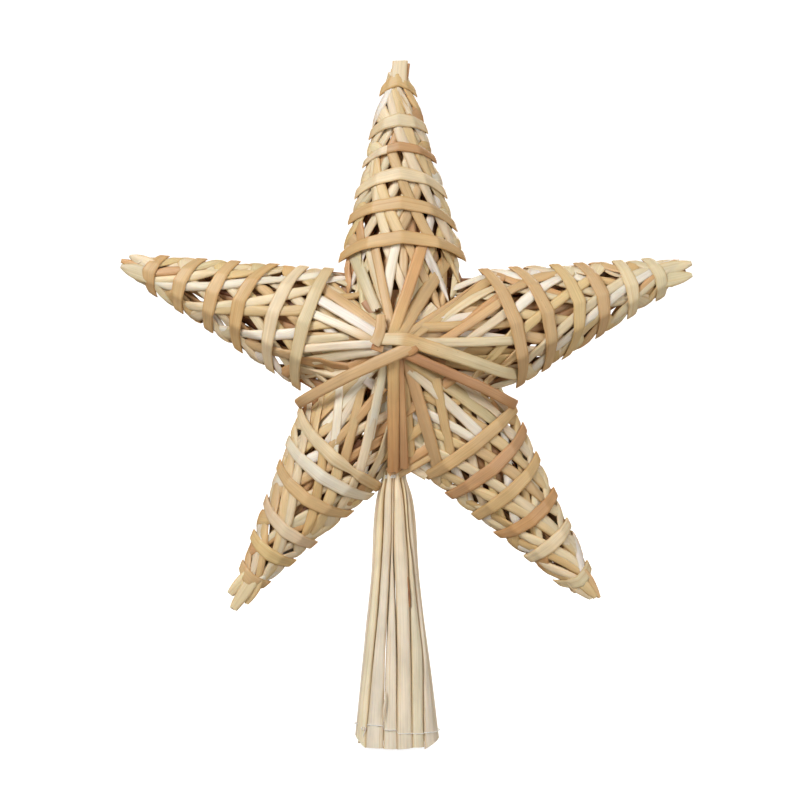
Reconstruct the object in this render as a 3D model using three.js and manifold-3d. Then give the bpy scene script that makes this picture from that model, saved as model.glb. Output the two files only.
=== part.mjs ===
// Straw star for a treetop: five hollow openwork arms woven of flattened wheat straw, bound by
// straw bands, and a stitched straw skirt that slips over the leading shoot of a tree.
//
// Millimetres, +Z up. The star stands in the XZ plane and its front faces -Y.
// The origin is the centre of the skirt's open mouth, where the tree's shoot goes in.

import * as THREE from 'three';
import { mergeVertices } from 'three/addons/utils/BufferGeometryUtils.js';
import Module from 'manifold-3d';

const wasm = await Module();
wasm.setup();

// ---------------------------------------------------------------- driving dimensions

const STAR_CENTRE = new THREE.Vector3(4.9, 0, 158);
const FRONT = new THREE.Vector3(0, -1, 0);
const FIT_GAP = 0.35; // clearance between pieces that touch

// An arm is a flattened pyramid. Distances "along" run from the star's centre to the arm's tip.
const DEPTH_RATIO = 0.62; // half-depth over half-width
const LENS_QUARTER = [[1, 0], [0.6, 0.8], [0, 1]]; // across and depth, as shares of the halves
const BASE_ALONG = 40;

const STRAW_THICK = 0.8;
const STRAW_ROUGHNESS = 0.55;
const SLIVER = 2; // mm3
const LAYER_STEP = 1.1; // from the outer to the inner layer of crossing straws
const CROSS_ANGLE = THREE.MathUtils.degToRad(30); // crossing straws against the arm's axis
const CROSS_COUNT = 5; // straws in each direction
const CROSS_WIDTH = 4.5;
const CROSS_SHARE = 0.6; // widest crossing straw near the tip, over the arm's half-width
const TIP_TRIM = 118;
const TIP = { halfDepth: 1.7, underBand: 4, waist: 5, shoulder: 3, split: 0.2, slant: 0.6 };

const BAND_WIDTH = 5.4;
const NARROW_BAND = 3.8;
const EDGE_PINCH = 0.2; // how much a band narrows where it folds over the arm's edge
const SIDE_ROOM = 1.25; // how far a cutting block reaches past the arm's half-width, as a share

const HUB_KNOT = new THREE.Vector2(-5, 6); // across and up from the star's centre
const HUB_RISE = 22.5; // how far the crossing straws stand forward at the knot
const HUB_SLOPE = 0.14;
const HUB_STRAW_THICK = 0.9;
const FAN_WIDTH = 4.6;
const FAN_EDGE = 0.98; // furthest a fan straw's edge lies from the arm's middle, as a share
const BAND_TUCK = 1; // how far under its edge a straw ends that meets a band from the hub

// The pale straw over the knot: places across, up and forward, and its width there.
const KNOT_STRIP = [
  [-16, 5.8, 22.9, 3.6], [-10, 8.4, 24.6, 4.4], [-2.4, 8.4, 24.8, 4.8], [8, 6, 23.4, 5.4],
];
const KNOT_STRIP_ACROSS = 16.5; // where it meets the right arm's first band

// The two straws down to the skirt: across and width at the top, then at the foot.
const NECK_STRAPS = {
  left: { top: [-6.4, 4.4], foot: [-6.9, 4.6] },
  right: { top: [-3.2, 1.2], foot: [-2.3, 3.6] },
};
const STRAP_TOP_UP = -4.5;
const STRAP_LIFT = 2; // over the crossing straws at the knot
const STRAP_FOOT_RISE = 3.6; // above the neck

const SKIRT_COUNT = 14; // one at each side, six in front and six behind
const HEM = { halfWidth: 17, halfDepth: 8, thick: 1.1 };
const NECK = { halfWidth: 5, halfDepth: 4.3, thick: 2.1 };
const NECK_HEIGHT = 108;
const SKIRT_TOP = 116;
const SKIRT_STATIONS = [0, 0.3, 0.65, 1];
const NECK_SHARES = [1.2, 1.25, 0.6, 1.55, 1.2, 0.7]; // front straws side by side at the neck
const HEM_CUTS = [2.4, 0, 0.2, 0.1, 0.3, 0.6]; // how far above the mouth each front straw is cut
const BACK_CUT_STEP = 0.4;
const STRAW_SIDES = 8;

const TIE_HEIGHT = 110.2;
const TIE_WIDTH = 1.3;
const HEM_THREAD_HEIGHT = 6.4;
const THREAD_SIZE = 0.5;
const THREAD_TURNS = 22; // flat runs round the hem thread's loop
const TIE_TURNS = 12;

const BAND_TAN = 0xcfb07e;
const BAND_PALE = 0xdcc7a0;
const BAND_BROWN = 0xbf9364;
const BAND_ORANGE = 0xc9a06e;
const SKIRT_CREAM = 0xe3d7be;
const THREAD_WHITE = 0xe8e6e0;

// Each arm: its direction, how far its axis lies beside the star's centre, its taper (half-width
// lost per millimetre along) to an apex, the turn at which its winding starts, and its tip form.
// A band has its place along the arm in the middle, at the left and at the right edge.
const ARMS = [
  {
    name: 'top', angle: 91.5, beside: -1.6, taper: 0.273, apex: 128.2, phase: 0.02,
    tip: { end: 121, beside: 1.6, width: 5, notch: 0, flare: 0 },
    narrowBand: 4,
    bands: [
      [48.5, 41.6, 40.4, BAND_TAN], [62.5, 57, 52.5, BAND_TAN], [74.5, 67, 66, BAND_PALE],
      [85.5, 79, 80, BAND_BROWN], [96.5, 91, 93, BAND_TAN], [113, 108.4, 107.6, BAND_TAN],
    ],
  },
  {
    name: 'left', angle: 161.4, beside: 0, taper: 0.26, apex: 131.9, phase: 0.1,
    tip: { end: 123.4, beside: 0, width: 6, notch: 2, flare: 1.2 },
    bands: [
      [44.5, 39.4, 42.4, BAND_TAN], [57.5, 51.5, 52, BAND_PALE], [72, 66.5, 63.5, BAND_TAN],
      [83.5, 80.5, 79, BAND_TAN], [97.5, 94.5, 92, BAND_ORANGE], [111, 106.5, 107, BAND_ORANGE],
    ],
  },
  {
    name: 'lower_left', angle: 235.05, beside: 1.4, taper: 0.262, apex: 126.9, phase: 0.05,
    tip: { end: 123.3, beside: -1, width: 5.5, notch: 3, flare: 1.6 },
    bands: [
      [50, 49.8, 41.4, BAND_PALE], [59, 54.6, 55, BAND_PALE], [70, 65, 65, BAND_TAN],
      [85.5, 84, 79.5, BAND_ORANGE], [97, 95, 94.5, BAND_TAN], [110, 108, 107, BAND_TAN],
    ],
  },
  {
    name: 'lower_right', angle: 308.2, beside: 1.3, taper: 0.235, apex: 134.1, phase: 0.13,
    tip: { end: 123.5, beside: -1, width: 5.5, notch: 1.5, flare: 1 },
    bands: [
      [43.5, 42, 41.2, BAND_TAN], [55.5, 50.5, 53.5, BAND_ORANGE], [67.5, 63, 67, BAND_TAN],
      [81.5, 79, 78, BAND_ORANGE], [94.5, 92, 93.5, BAND_PALE], [113.5, 110.5, 108, BAND_TAN],
    ],
  },
  {
    name: 'right', angle: 17.8, beside: -0.7, taper: 0.255, apex: 131.2, phase: 0.08,
    tip: { end: 121.1, beside: 0.5, width: 6, notch: 2, flare: 1.2 },
    bands: [
      [45, 39.6, 39.4, BAND_ORANGE], [58.5, 51.5, 51, BAND_TAN], [72, 67.5, 60, BAND_TAN],
      [82, 77, 76, BAND_TAN], [94.5, 92.5, 91, BAND_PALE], [107, 104, 104.5, BAND_PALE],
    ],
  },
];

// Straws that fan in from under each arm's first band: where each leaves the band, across the
// arm, and where it ends near the knot, across and up from the star's centre.
const FRONT_FANS = {
  top: [[-22, -7, 6.5], [-14.5, -4.5, 8.5], [-2.5, -11, 12], [7.5, -7.5, 9.5], [18.5, -5, 9]],
  left: [[17, -7, 8], [11, -7, 4.7], [4, -8, 2], [-10, -7, 6], [-17.5, -4, 4]],
  lower_left: [[-14.5, -8.5, 5], [6.5, -3.5, -4.5], [16, -5, 0], [22.5, 0, 4]],
  lower_right: [[-21, -4, 2], [-12, -3, 1], [-4, -2, -2], [8.5, 11.5, -2], [18, -2, 3]],
  right: [[-21, -2, 8], [-14.5, 0, 6.5], [-6, 4, 1.5], [7, 0, 8]],
};
const BACK_FAN_SHARES = [-0.66, -0.2, 0.24, 0.7];
const BACK_KNOT_REACH = 5;

// ---------------------------------------------------------------- solids

/** Signed volume of a closed triangle mesh. */
function signedVolume(points, triangles) {
  const cross = new THREE.Vector3();
  let volume = 0;
  for (const [a, b, c] of triangles) {
    volume += cross.crossVectors(points[b], points[c]).dot(points[a]) / 6;
  }
  return volume;
}

/** Closed geometry from corner points and triangles, turned so that its faces point out. */
function closedGeometry(points, triangles) {
  const outward = signedVolume(points, triangles) > 0;
  const index = triangles.flatMap(([a, b, c]) => (outward ? [a, b, c] : [a, c, b]));
  const positions = points.flatMap((point) => point.toArray());
  const geometry = new THREE.BufferGeometry();
  geometry.setAttribute('position', new THREE.Float32BufferAttribute(positions, 3));
  geometry.setIndex(index);
  return geometry;
}

/** Two triangles over four corners, split along the shorter diagonal. */
function splitQuad(points, [a, b, c, d]) {
  const alongAC = points[a].distanceTo(points[c]) <= points[b].distanceTo(points[d]);
  return alongAC ? [[a, b, c], [a, c, d]] : [[a, b, d], [b, c, d]];
}

/** Skin over equal rings of points: an open run gets flat ends, a looped run joins up. */
function skinRings(rings, looped) {
  const size = rings[0].length;
  const points = rings.flat();
  const triangles = [];
  const spans = looped ? rings.length : rings.length - 1;
  for (let ring = 0; ring < spans; ring += 1) {
    const here = ring * size;
    const next = ((ring + 1) % rings.length) * size;
    for (let side = 0; side < size; side += 1) {
      const turn = (side + 1) % size;
      triangles.push(...splitQuad(points, [here + side, next + side, next + turn, here + turn]));
    }
  }
  if (!looped) {
    const last = (rings.length - 1) * size;
    for (let side = 1; side < size - 1; side += 1) {
      triangles.push([0, side, side + 1], [last, last + side + 1, last + side]);
    }
  }
  return closedGeometry(points, triangles);
}

function toManifold(geometry) {
  const bare = geometry.clone();
  bare.deleteAttribute('normal');
  bare.deleteAttribute('uv');
  const merged = mergeVertices(bare);
  return new wasm.Manifold(new wasm.Mesh({
    numProp: 3,
    vertProperties: new Float32Array(merged.attributes.position.array),
    triVerts: new Uint32Array(merged.index.array),
  }));
}

function fromManifold(solid) {
  const mesh = solid.getMesh();
  const geometry = new THREE.BufferGeometry();
  geometry.setAttribute('position', new THREE.BufferAttribute(mesh.vertProperties, 3));
  geometry.setIndex(new THREE.BufferAttribute(mesh.triVerts, 1));
  return geometry;
}

function joinAll(geometries) {
  return geometries.map(toManifold).reduce((whole, piece) => whole.add(piece));
}

/** Fills the small hollows that are shut in where straws cross, and drops loose slivers. */
function fillHollows(solid) {
  const shells = solid.decompose().filter((shell) => shell.volume() > SLIVER);
  return shells.reduce((whole, shell) => whole.add(shell));
}

function straw(name, geometry, color) {
  geometry.computeVertexNormals();
  const material = new THREE.MeshStandardMaterial({ color, roughness: STRAW_ROUGHNESS, metalness: 0 });
  const mesh = new THREE.Mesh(geometry, material);
  mesh.name = name;
  return mesh;
}

// ---------------------------------------------------------------- the arm's pyramid

/** Corners of the arm's section, from the right edge round the front and back again. */
function lensCorners() {
  const [edge, shoulder, crown] = LENS_QUARTER;
  const mirror = ([across, depth], side, face) => [across * side, depth * face];
  return [
    edge, shoulder, crown, mirror(shoulder, -1, 1),
    mirror(edge, -1, 1), mirror(shoulder, -1, -1), mirror(crown, 1, -1), mirror(shoulder, 1, -1),
  ];
}

const LENS = lensCorners();

/** Running length round the section to each corner, for a half-width of one. */
function lensRun() {
  const run = [0];
  LENS.forEach(([across, depth], corner) => {
    const [nextAcross, nextDepth] = LENS[(corner + 1) % LENS.length];
    run.push(run[corner] + Math.hypot(nextAcross - across, (nextDepth - depth) * DEPTH_RATIO));
  });
  return run;
}

const LENS_RUN = lensRun();
const LENS_GIRTH = LENS_RUN[LENS.length];

/** Turns round the section to a corner; corner numbers go on past a whole turn, both ways. */
function cornerTurn(corner) {
  const whole = Math.floor(corner / LENS.length);
  return whole + LENS_RUN[corner - whole * LENS.length] / LENS_GIRTH;
}

/** Share of the half-depth at a share of the half-width, on the section's flat faces. */
function lensDepth(share) {
  const [edge, shoulder, crown] = LENS_QUARTER;
  const reach = Math.min(Math.abs(share), edge[0]);
  const [inner, outer] = reach <= shoulder[0] ? [crown, shoulder] : [shoulder, edge];
  return THREE.MathUtils.mapLinear(reach, inner[0], outer[0], inner[1], outer[1]);
}

/** The arm's own directions, and finders of points on it in the part's frame. */
function armFrame(arm) {
  const turn = THREE.MathUtils.degToRad(arm.angle);
  const axis = new THREE.Vector3(Math.cos(turn), 0, Math.sin(turn));
  const right = new THREE.Vector3(Math.sin(turn), 0, -Math.cos(turn));
  const halfWidth = (along) => arm.taper * (arm.apex - along);
  const alongOf = (half) => arm.apex - half / arm.taper;
  const place = (across, along, forward) => STAR_CENTRE.clone()
    .addScaledVector(right, across + arm.beside)
    .addScaledVector(axis, along)
    .addScaledVector(FRONT, forward);
  const onCorner = (corner, along, raise) => {
    const [across, depth] = LENS[((corner % LENS.length) + LENS.length) % LENS.length];
    const half = halfWidth(along) + raise / DEPTH_RATIO;
    return place(across * half, along, depth * half * DEPTH_RATIO);
  };
  const onFace = (across, along, raise, face) => {
    const half = halfWidth(along) + raise / DEPTH_RATIO;
    return place(across, along, lensDepth(across / half) * half * DEPTH_RATIO * face);
  };
  const upright = (halfDepth) => new THREE.Matrix4().makeBasis(right, axis, FRONT)
    .setPosition(place(0, 0, -halfDepth));
  return { halfWidth, alongOf, place, onCorner, onFace, upright };
}

/** A straw lying on the pyramid: each station is a corner with a low and a high edge along. */
function strawOnArm(frame, stations, raise, thick, looped) {
  const rings = stations.map(({ corner, low, high }) => [
    frame.onCorner(corner, low, raise), frame.onCorner(corner, high, raise),
    frame.onCorner(corner, high, raise - thick), frame.onCorner(corner, low, raise - thick),
  ]);
  return skinRings(rings, looped);
}

// ---------------------------------------------------------------- the arms

/** Place along the arm of a band's middle line, at a share of the half-width. */
function bandAlong([middle, left, right], share) {
  const edge = share < 0 ? left : right;
  return middle + (edge - middle) * share * share;
}

/** A closed hoop of straw round the arm, sagging towards both edges. */
function bandHoop(frame, band, width) {
  const stations = LENS.map(([across], corner) => {
    const along = bandAlong(band, across);
    const reach = (width / 2) * (1 - EDGE_PINCH * across * across);
    return { corner, low: along - reach, high: along + reach };
  });
  return strawOnArm(frame, stations, FIT_GAP + STRAW_THICK, STRAW_THICK, true);
}

/** One straw that winds up the arm at a steady angle, to the right or to the left. */
function windingStraw(arm, frame, startTurn, direction, raise) {
  const turnsPerFold = Math.tan(CROSS_ANGLE) / (LENS_GIRTH * arm.taper);
  const baseHalf = frame.halfWidth(BASE_ALONG);
  const stations = [];
  for (let step = -LENS.length; step < LENS.length * 2; step += 1) {
    const corner = Math.round(startTurn * LENS.length) + step * direction;
    const climb = (direction * (cornerTurn(corner) - startTurn)) / turnsPerFold;
    const half = baseHalf * Math.exp(-climb);
    const along = frame.alongOf(half);
    const reach = Math.min(CROSS_WIDTH, CROSS_SHARE * half) / 2 / Math.sin(CROSS_ANGLE);
    const inside = along > BASE_ALONG - CROSS_WIDTH * 4 && along < TIP_TRIM + CROSS_WIDTH / 2;
    if (inside) stations.push({ corner, low: along - reach, high: along + reach });
  }
  return strawOnArm(frame, stations, raise, STRAW_THICK, false);
}

/** A flat block across the arm's depth, from an outline given across and along. */
function armBlock(frame, outline, halfDepth) {
  const shape = new THREE.Shape(outline.map(([across, along]) => new THREE.Vector2(across, along)));
  const block = new THREE.ExtrudeGeometry(shape, { depth: 2 * halfDepth, bevelEnabled: false });
  return toManifold(block.applyMatrix4(frame.upright(halfDepth)));
}

/** Everything past the middle line of the arm's first band, moved by a step along the arm. */
function beyondFirstBand(arm, frame, step) {
  const side = frame.halfWidth(BASE_ALONG);
  const leftToRight = LENS.slice(0, LENS.length / 2 + 1).map(([across]) => across).reverse();
  const lower = [-SIDE_ROOM, ...leftToRight, SIDE_ROOM].map((share) => {
    const along = bandAlong(arm.bands[0], THREE.MathUtils.clamp(share, -1, 1)) + step;
    return [share * side, along];
  });
  const upper = [[SIDE_ROOM * side, TIP_TRIM], [-SIDE_ROOM * side, TIP_TRIM]];
  return armBlock(frame, [...lower, ...upper], frame.halfWidth(0));
}

/** The gathered straw ends at the arm's tip: a flat tab, notched where the straws spread. */
function armTip(arm, frame) {
  const { end, beside, width, notch, flare } = arm.tip;
  const base = arm.bands[arm.bands.length - 1][0] - TIP.underBand;
  const waist = base + TIP.waist;
  const shoulder = end - TIP.shoulder;
  const half = width / 2;
  const outline = [
    [-half, base], [half, base], [half - flare / 2, waist], [half, shoulder], [half - flare, end],
    [0, end - notch - TIP.split],
    [flare - half, end - TIP.slant], [-half, shoulder], [flare / 2 - half, waist],
  ];
  const lean = beside / (end - base);
  const leaning = outline.map(([across, along]) => [across + lean * (along - base), along]);
  return armBlock(frame, leaning, TIP.halfDepth);
}

/** Both crossing layers of straws of one arm, joined at the tip where they are gathered. */
function armLattice(arm) {
  const frame = armFrame(arm);
  const straws = [];
  for (let count = 0; count < CROSS_COUNT; count += 1) {
    const share = count / CROSS_COUNT;
    straws.push(windingStraw(arm, frame, share + arm.phase, 1, 0));
    straws.push(windingStraw(arm, frame, share + 2 * arm.phase, -1, -LAYER_STEP));
  }
  const woven = joinAll(straws).intersect(beyondFirstBand(arm, frame, FIT_GAP / 2));
  return fromManifold(fillHollows(woven.add(armTip(arm, frame))));
}

function armPieces(arm) {
  const frame = armFrame(arm);
  const pieces = [straw(`arm_${arm.name}_lattice`, armLattice(arm), BAND_TAN)];
  arm.bands.forEach((band, order) => {
    const width = order + 1 === arm.narrowBand ? NARROW_BAND : BAND_WIDTH;
    const hoop = bandHoop(frame, band, width);
    pieces.push(straw(`arm_${arm.name}_band_${order + 1}`, hoop, band[3]));
  });
  return pieces;
}

// ---------------------------------------------------------------- the hub

/** A point by its place across and up from the star's centre, and how far forward it stands. */
function hubPoint(across, up, forward) {
  return STAR_CENTRE.clone().add(new THREE.Vector3(across, -forward, up));
}

/** Ring of four corners of a straw that lies flat in the star's plane at a place in the hub. */
function hubRing(across, up, forward, heading, width, thick) {
  const side = new THREE.Vector3(-heading.z, 0, heading.x).setLength(width / 2);
  const place = (sign, depth) => hubPoint(across, up, forward - depth).addScaledVector(side, sign);
  return [place(-1, 0), place(1, 0), place(1, thick), place(-1, thick)];
}

/** Ring of four corners: both edges of a straw on its outer face, then on its inner face. */
function strawRing(edge, width, outer, thick) {
  const half = width / 2;
  return [edge(-half, outer), edge(half, outer), edge(half, outer - thick), edge(-half, outer - thick)];
}

/** The same ring with its left and right edges changed over. */
function swapEdges([left, right, innerRight, innerLeft]) {
  return [right, left, innerLeft, innerRight];
}

/** Ring of a straw that lies on an arm's face just under its first band. */
function bandRing(arm, frame, across, face, width, thick) {
  const edge = (offset, raise) => {
    const reach = (across - arm.beside + offset) / frame.halfWidth(BASE_ALONG);
    const share = THREE.MathUtils.clamp(reach, -FAN_EDGE, FAN_EDGE);
    const along = bandAlong(arm.bands[0], share) + BAND_WIDTH / 4;
    return frame.onFace(share * frame.halfWidth(along), along, raise, face);
  };
  return strawRing(edge, width, -FIT_GAP, thick);
}

/** A straw from under an arm's first band to its end near the knot. */
function fanStraw(arm, across, endAcross, endUp, face, width) {
  const frame = armFrame(arm);
  const outer = bandRing(arm, frame, across, face, width, HUB_STRAW_THICK);
  const gap = Math.hypot(endAcross - HUB_KNOT.x, endUp - HUB_KNOT.y);
  const forward = HUB_RISE - HUB_SLOPE * gap;
  const heading = outer[0].clone().add(outer[1]).multiplyScalar(0.5).sub(hubPoint(endAcross, endUp, 0));
  const inner = hubRing(endAcross, endUp, forward * face, heading, width, HUB_STRAW_THICK * face);
  const sameWay = inner[0].distanceTo(outer[0]) < inner[1].distanceTo(outer[0]);
  return skinRings([outer, sameWay ? inner : swapEdges(inner)], false);
}

/** Joins fan straws and cuts away what reaches past the middle of each arm's first band. */
function joinFans(fans) {
  const blocks = ARMS.map((arm) => beyondFirstBand(arm, armFrame(arm), -FIT_GAP / 2));
  const trimmed = blocks.reduce((rest, block) => rest.subtract(block), joinAll(fans));
  return fromManifold(fillHollows(trimmed));
}

function hubFront() {
  return joinFans(ARMS.flatMap((arm) => FRONT_FANS[arm.name].map(
    ([across, endAcross, endUp]) => fanStraw(arm, across, endAcross, endUp, 1, FAN_WIDTH),
  )));
}

function hubBack() {
  return joinFans(ARMS.flatMap((arm) => BACK_FAN_SHARES.map((share) => {
    const frame = armFrame(arm);
    const across = share * frame.halfWidth(BASE_ALONG);
    const start = frame.place(across, BASE_ALONG, 0).sub(STAR_CENTRE);
    const away = new THREE.Vector2(start.x, start.z).sub(HUB_KNOT).setLength(BACK_KNOT_REACH);
    const end = HUB_KNOT.clone().add(away);
    return fanStraw(arm, across + arm.beside, end.x, end.y, -1, FAN_WIDTH);
  })));
}

/** Straw through a list of hub places, each with its own width. */
function hubRibbon(stations, thick, ending = []) {
  const rings = stations.map(([across, up, forward, width], order) => {
    const before = stations[Math.max(order - 1, 0)];
    const after = stations[Math.min(order + 1, stations.length - 1)];
    const heading = new THREE.Vector3(after[0] - before[0], 0, after[1] - before[1]);
    return hubRing(across, up, forward, heading, width, thick);
  });
  return skinRings([...rings, ...ending], false);
}

/** The pale straw that folds over the knot and runs down into the right arm. */
function knotStrip() {
  const arm = ARMS.find(({ name }) => name === 'right');
  const frame = armFrame(arm);
  const share = KNOT_STRIP_ACROSS / frame.halfWidth(BASE_ALONG);
  const along = bandAlong(arm.bands[0], share) - BAND_WIDTH / 2 - BAND_TUCK;
  const edge = (offset, raise) => frame.onFace(KNOT_STRIP_ACROSS + offset, along, raise, 1);
  const last = strawRing(edge, FAN_WIDTH, FIT_GAP + STRAW_THICK, STRAW_THICK);
  return hubRibbon(KNOT_STRIP, STRAW_THICK, [swapEdges(last)]);
}

/** One of the two straws that run from the knot down to the neck of the skirt. */
function neckStrap({ top, foot }) {
  const footUp = NECK_HEIGHT + STRAP_FOOT_RISE - STAR_CENTRE.z;
  const footForward = NECK.halfDepth + 2 * FIT_GAP + STRAW_THICK;
  const [topAcross, topWidth] = top;
  const [footAcross, footWidth] = foot;
  return hubRibbon(
    [
      [topAcross, STRAP_TOP_UP, HUB_RISE + STRAP_LIFT, topWidth],
      [footAcross, footUp, footForward, footWidth],
    ],
    STRAW_THICK,
  );
}

function hubPieces() {
  return [
    straw('hub_front_straws', hubFront(), BAND_TAN),
    straw('hub_back_straws', hubBack(), BAND_TAN),
    straw('hub_knot_strip', knotStrip(), BAND_PALE),
    straw('neck_strap_left', neckStrap(NECK_STRAPS.left), BAND_TAN),
    straw('neck_strap_right', neckStrap(NECK_STRAPS.right), BAND_BROWN),
  ];
}

// ---------------------------------------------------------------- the skirt

/** Sizes of the skirt's oval at a height above its mouth. */
function skirtOval(height) {
  const share = Math.min(height / NECK_HEIGHT, 1);
  const mix = (key) => THREE.MathUtils.lerp(HEM[key], NECK[key], share);
  return { halfWidth: mix('halfWidth'), halfDepth: mix('halfDepth'), thick: mix('thick') };
}

/** Point on an oval, by its share of the girth from the middle of the left side. */
function ovalPoint(halfWidth, halfDepth, share) {
  const oval = new THREE.EllipseCurve(0, 0, halfWidth, halfDepth, Math.PI, 3 * Math.PI);
  return oval.getPointAt((share + 1) % 1);
}

/** Where each straw starts round the skirt, as shares of the girth: side, front, side, back. */
function skirtEdges(frontShares) {
  const taken = frontShares.reduce((sum, share) => sum + share, 0);
  const other = (SKIRT_COUNT - taken) / (SKIRT_COUNT - frontShares.length);
  const back = new Array(SKIRT_COUNT - frontShares.length - 2).fill(other);
  const sizes = [other, ...frontShares, other, ...back];
  const edges = [-other / 2 / SKIRT_COUNT];
  sizes.forEach((size) => edges.push(edges[edges.length - 1] + size / SKIRT_COUNT));
  return edges;
}

const HEM_EDGES = skirtEdges(new Array(HEM_CUTS.length).fill(1));
const NECK_EDGES = skirtEdges(NECK_SHARES);

/** Section of one of the skirt's straws at a height: a flattened round between its two edges. */
function skirtSection(order, height) {
  const { halfWidth, halfDepth, thick } = skirtOval(height);
  const rise = Math.min(height / NECK_HEIGHT, 1);
  const half = thick / 2;
  const onRing = (share) => ovalPoint(halfWidth - half, halfDepth - half, share);
  const start = THREE.MathUtils.lerp(HEM_EDGES[order], NECK_EDGES[order], rise);
  const end = THREE.MathUtils.lerp(HEM_EDGES[order + 1], NECK_EDGES[order + 1], rise);
  const chord = onRing(end).clone().sub(onRing(start));
  const reach = chord.length() / 2 - FIT_GAP / 2;
  const side = chord.normalize();
  const out = new THREE.Vector2(side.y, -side.x);
  const onChord = onRing(start).add(onRing(end)).multiplyScalar(0.5);
  const middle = onChord.lerp(onRing((start + end) / 2), 0.5);
  return Array.from({ length: STRAW_SIDES }, (_, corner) => {
    const turn = (corner / STRAW_SIDES) * 2 * Math.PI;
    const place = middle.clone()
      .addScaledVector(side, reach * Math.cos(turn))
      .addScaledVector(out, half * Math.sin(turn));
    return new THREE.Vector3(place.x, place.y, height);
  });
}

/** One flattened straw of the skirt, cut at its own height above the mouth. */
function skirtStraw(order, cut) {
  const heights = SKIRT_STATIONS.map((share) => cut + (NECK_HEIGHT - cut) * share);
  const rings = [...heights, SKIRT_TOP].map((height) => skirtSection(order, height));
  return skinRings(rings, false);
}

/** A closed square-edged loop of thread round the skirt. */
function threadLoop(height, tall, thick, turns) {
  const { halfWidth, halfDepth } = skirtOval(height);
  const rings = Array.from({ length: turns }, (_, step) => {
    const corner = (grow, rise) => {
      const place = ovalPoint(halfWidth + grow, halfDepth + grow, step / turns);
      return new THREE.Vector3(place.x, place.y, height + rise);
    };
    const outside = FIT_GAP + thick;
    return [corner(FIT_GAP, 0), corner(outside, 0), corner(outside, tall), corner(FIT_GAP, tall)];
  });
  return skinRings(rings, true);
}

function skirtPieces() {
  const pieces = [];
  for (let order = 0; order < SKIRT_COUNT; order += 1) {
    const cut = HEM_CUTS[order - 1] ?? BACK_CUT_STEP * (order % 3);
    const name = `skirt_straw_${String(order + 1).padStart(2, '0')}`;
    pieces.push(straw(name, skirtStraw(order, cut), SKIRT_CREAM));
  }
  const tie = threadLoop(TIE_HEIGHT, TIE_WIDTH, THREAD_SIZE, TIE_TURNS);
  const stitch = threadLoop(HEM_THREAD_HEIGHT, THREAD_SIZE, THREAD_SIZE, THREAD_TURNS);
  pieces.push(straw('neck_tie', tie, THREAD_WHITE));
  pieces.push(straw('hem_thread', stitch, THREAD_WHITE));
  return pieces;
}

// ---------------------------------------------------------------- the whole star

const star = new THREE.Group();
star.name = 'straw_star';
ARMS.forEach((arm) => star.add(...armPieces(arm)));
star.add(...hubPieces());
star.add(...skirtPieces());

export default star;
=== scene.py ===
"""Straw star for a treetop: five woven arms, their bindings, the fanned hub and the stitched skirt.

Sizes are millimetres in the part's own frame until a mesh is made, and metres from there on.
The star stands in the XZ plane with its front towards -Y.
"""

import logging
import math
import random
from dataclasses import dataclass, field
from enum import Enum
from typing import Any, Iterator, Sequence

import bmesh
import bpy
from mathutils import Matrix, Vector


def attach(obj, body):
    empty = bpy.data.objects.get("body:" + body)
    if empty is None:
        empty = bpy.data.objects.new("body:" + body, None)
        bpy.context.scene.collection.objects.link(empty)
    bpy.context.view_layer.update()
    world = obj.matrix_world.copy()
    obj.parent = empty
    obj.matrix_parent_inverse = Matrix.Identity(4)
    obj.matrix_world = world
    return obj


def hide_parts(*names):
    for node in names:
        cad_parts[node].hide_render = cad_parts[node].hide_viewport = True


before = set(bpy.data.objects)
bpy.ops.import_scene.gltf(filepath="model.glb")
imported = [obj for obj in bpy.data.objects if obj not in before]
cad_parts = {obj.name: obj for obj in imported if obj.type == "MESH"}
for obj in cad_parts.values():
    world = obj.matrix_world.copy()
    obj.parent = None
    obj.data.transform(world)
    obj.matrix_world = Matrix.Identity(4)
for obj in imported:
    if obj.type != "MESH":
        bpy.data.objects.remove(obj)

Socket = bpy.types.NodeSocket
Tree = bpy.types.NodeTree
Pair = tuple[float, float]
Triple = tuple[float, float, float]
Quad = tuple[float, float, float, float]

LOG = logging.getLogger("straw_star")
MM = 0.001
STAR_CENTRE = Vector((4.9, 0.0, 158.0))
FRONT = Vector((0.0, -1.0, 0.0))
UP = Vector((0.0, 0.0, 1.0))
FIT_GAP = 0.35
BASE_ALONG = 40.0
KNOT = (-5.0, 6.0)
KNOT_RISE = {1: 22.5, -1: 21.4}
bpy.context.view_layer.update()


def linear(hex_colour: str) -> Quad:
    """Turns an sRGB hex colour into a linear one.

    Args:
        hex_colour: Six hex digits.

    Returns:
        Linear red, green and blue, and an alpha of 1.
    """
    parts = [int(hex_colour[at:at + 2], 16) / 255 for at in (0, 2, 4)]
    bright = [((part + 0.055) / 1.055) ** 2.4 if part > 0.04045 else part / 12.92 for part in parts]
    return bright[0], bright[1], bright[2], 1.0


def add_node(tree: Tree, kind: str, inputs: dict | None = None, **settings: Any) -> bpy.types.Node:
    """Adds a node, sets its properties, and fills its inputs with values or links.

    Args:
        tree: The tree that gets the node.
        kind: The node's type name.
        inputs: Values or output sockets by input name or number.
        settings: Properties of the node itself.

    Returns:
        The new node.
    """
    node = tree.nodes.new(kind)
    for name, value in settings.items():
        setattr(node, name, value)
    for name, value in (inputs or {}).items():
        if isinstance(value, Socket):
            tree.links.new(value, node.inputs[name])
        else:
            node.inputs[name].default_value = value
    return node


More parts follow.
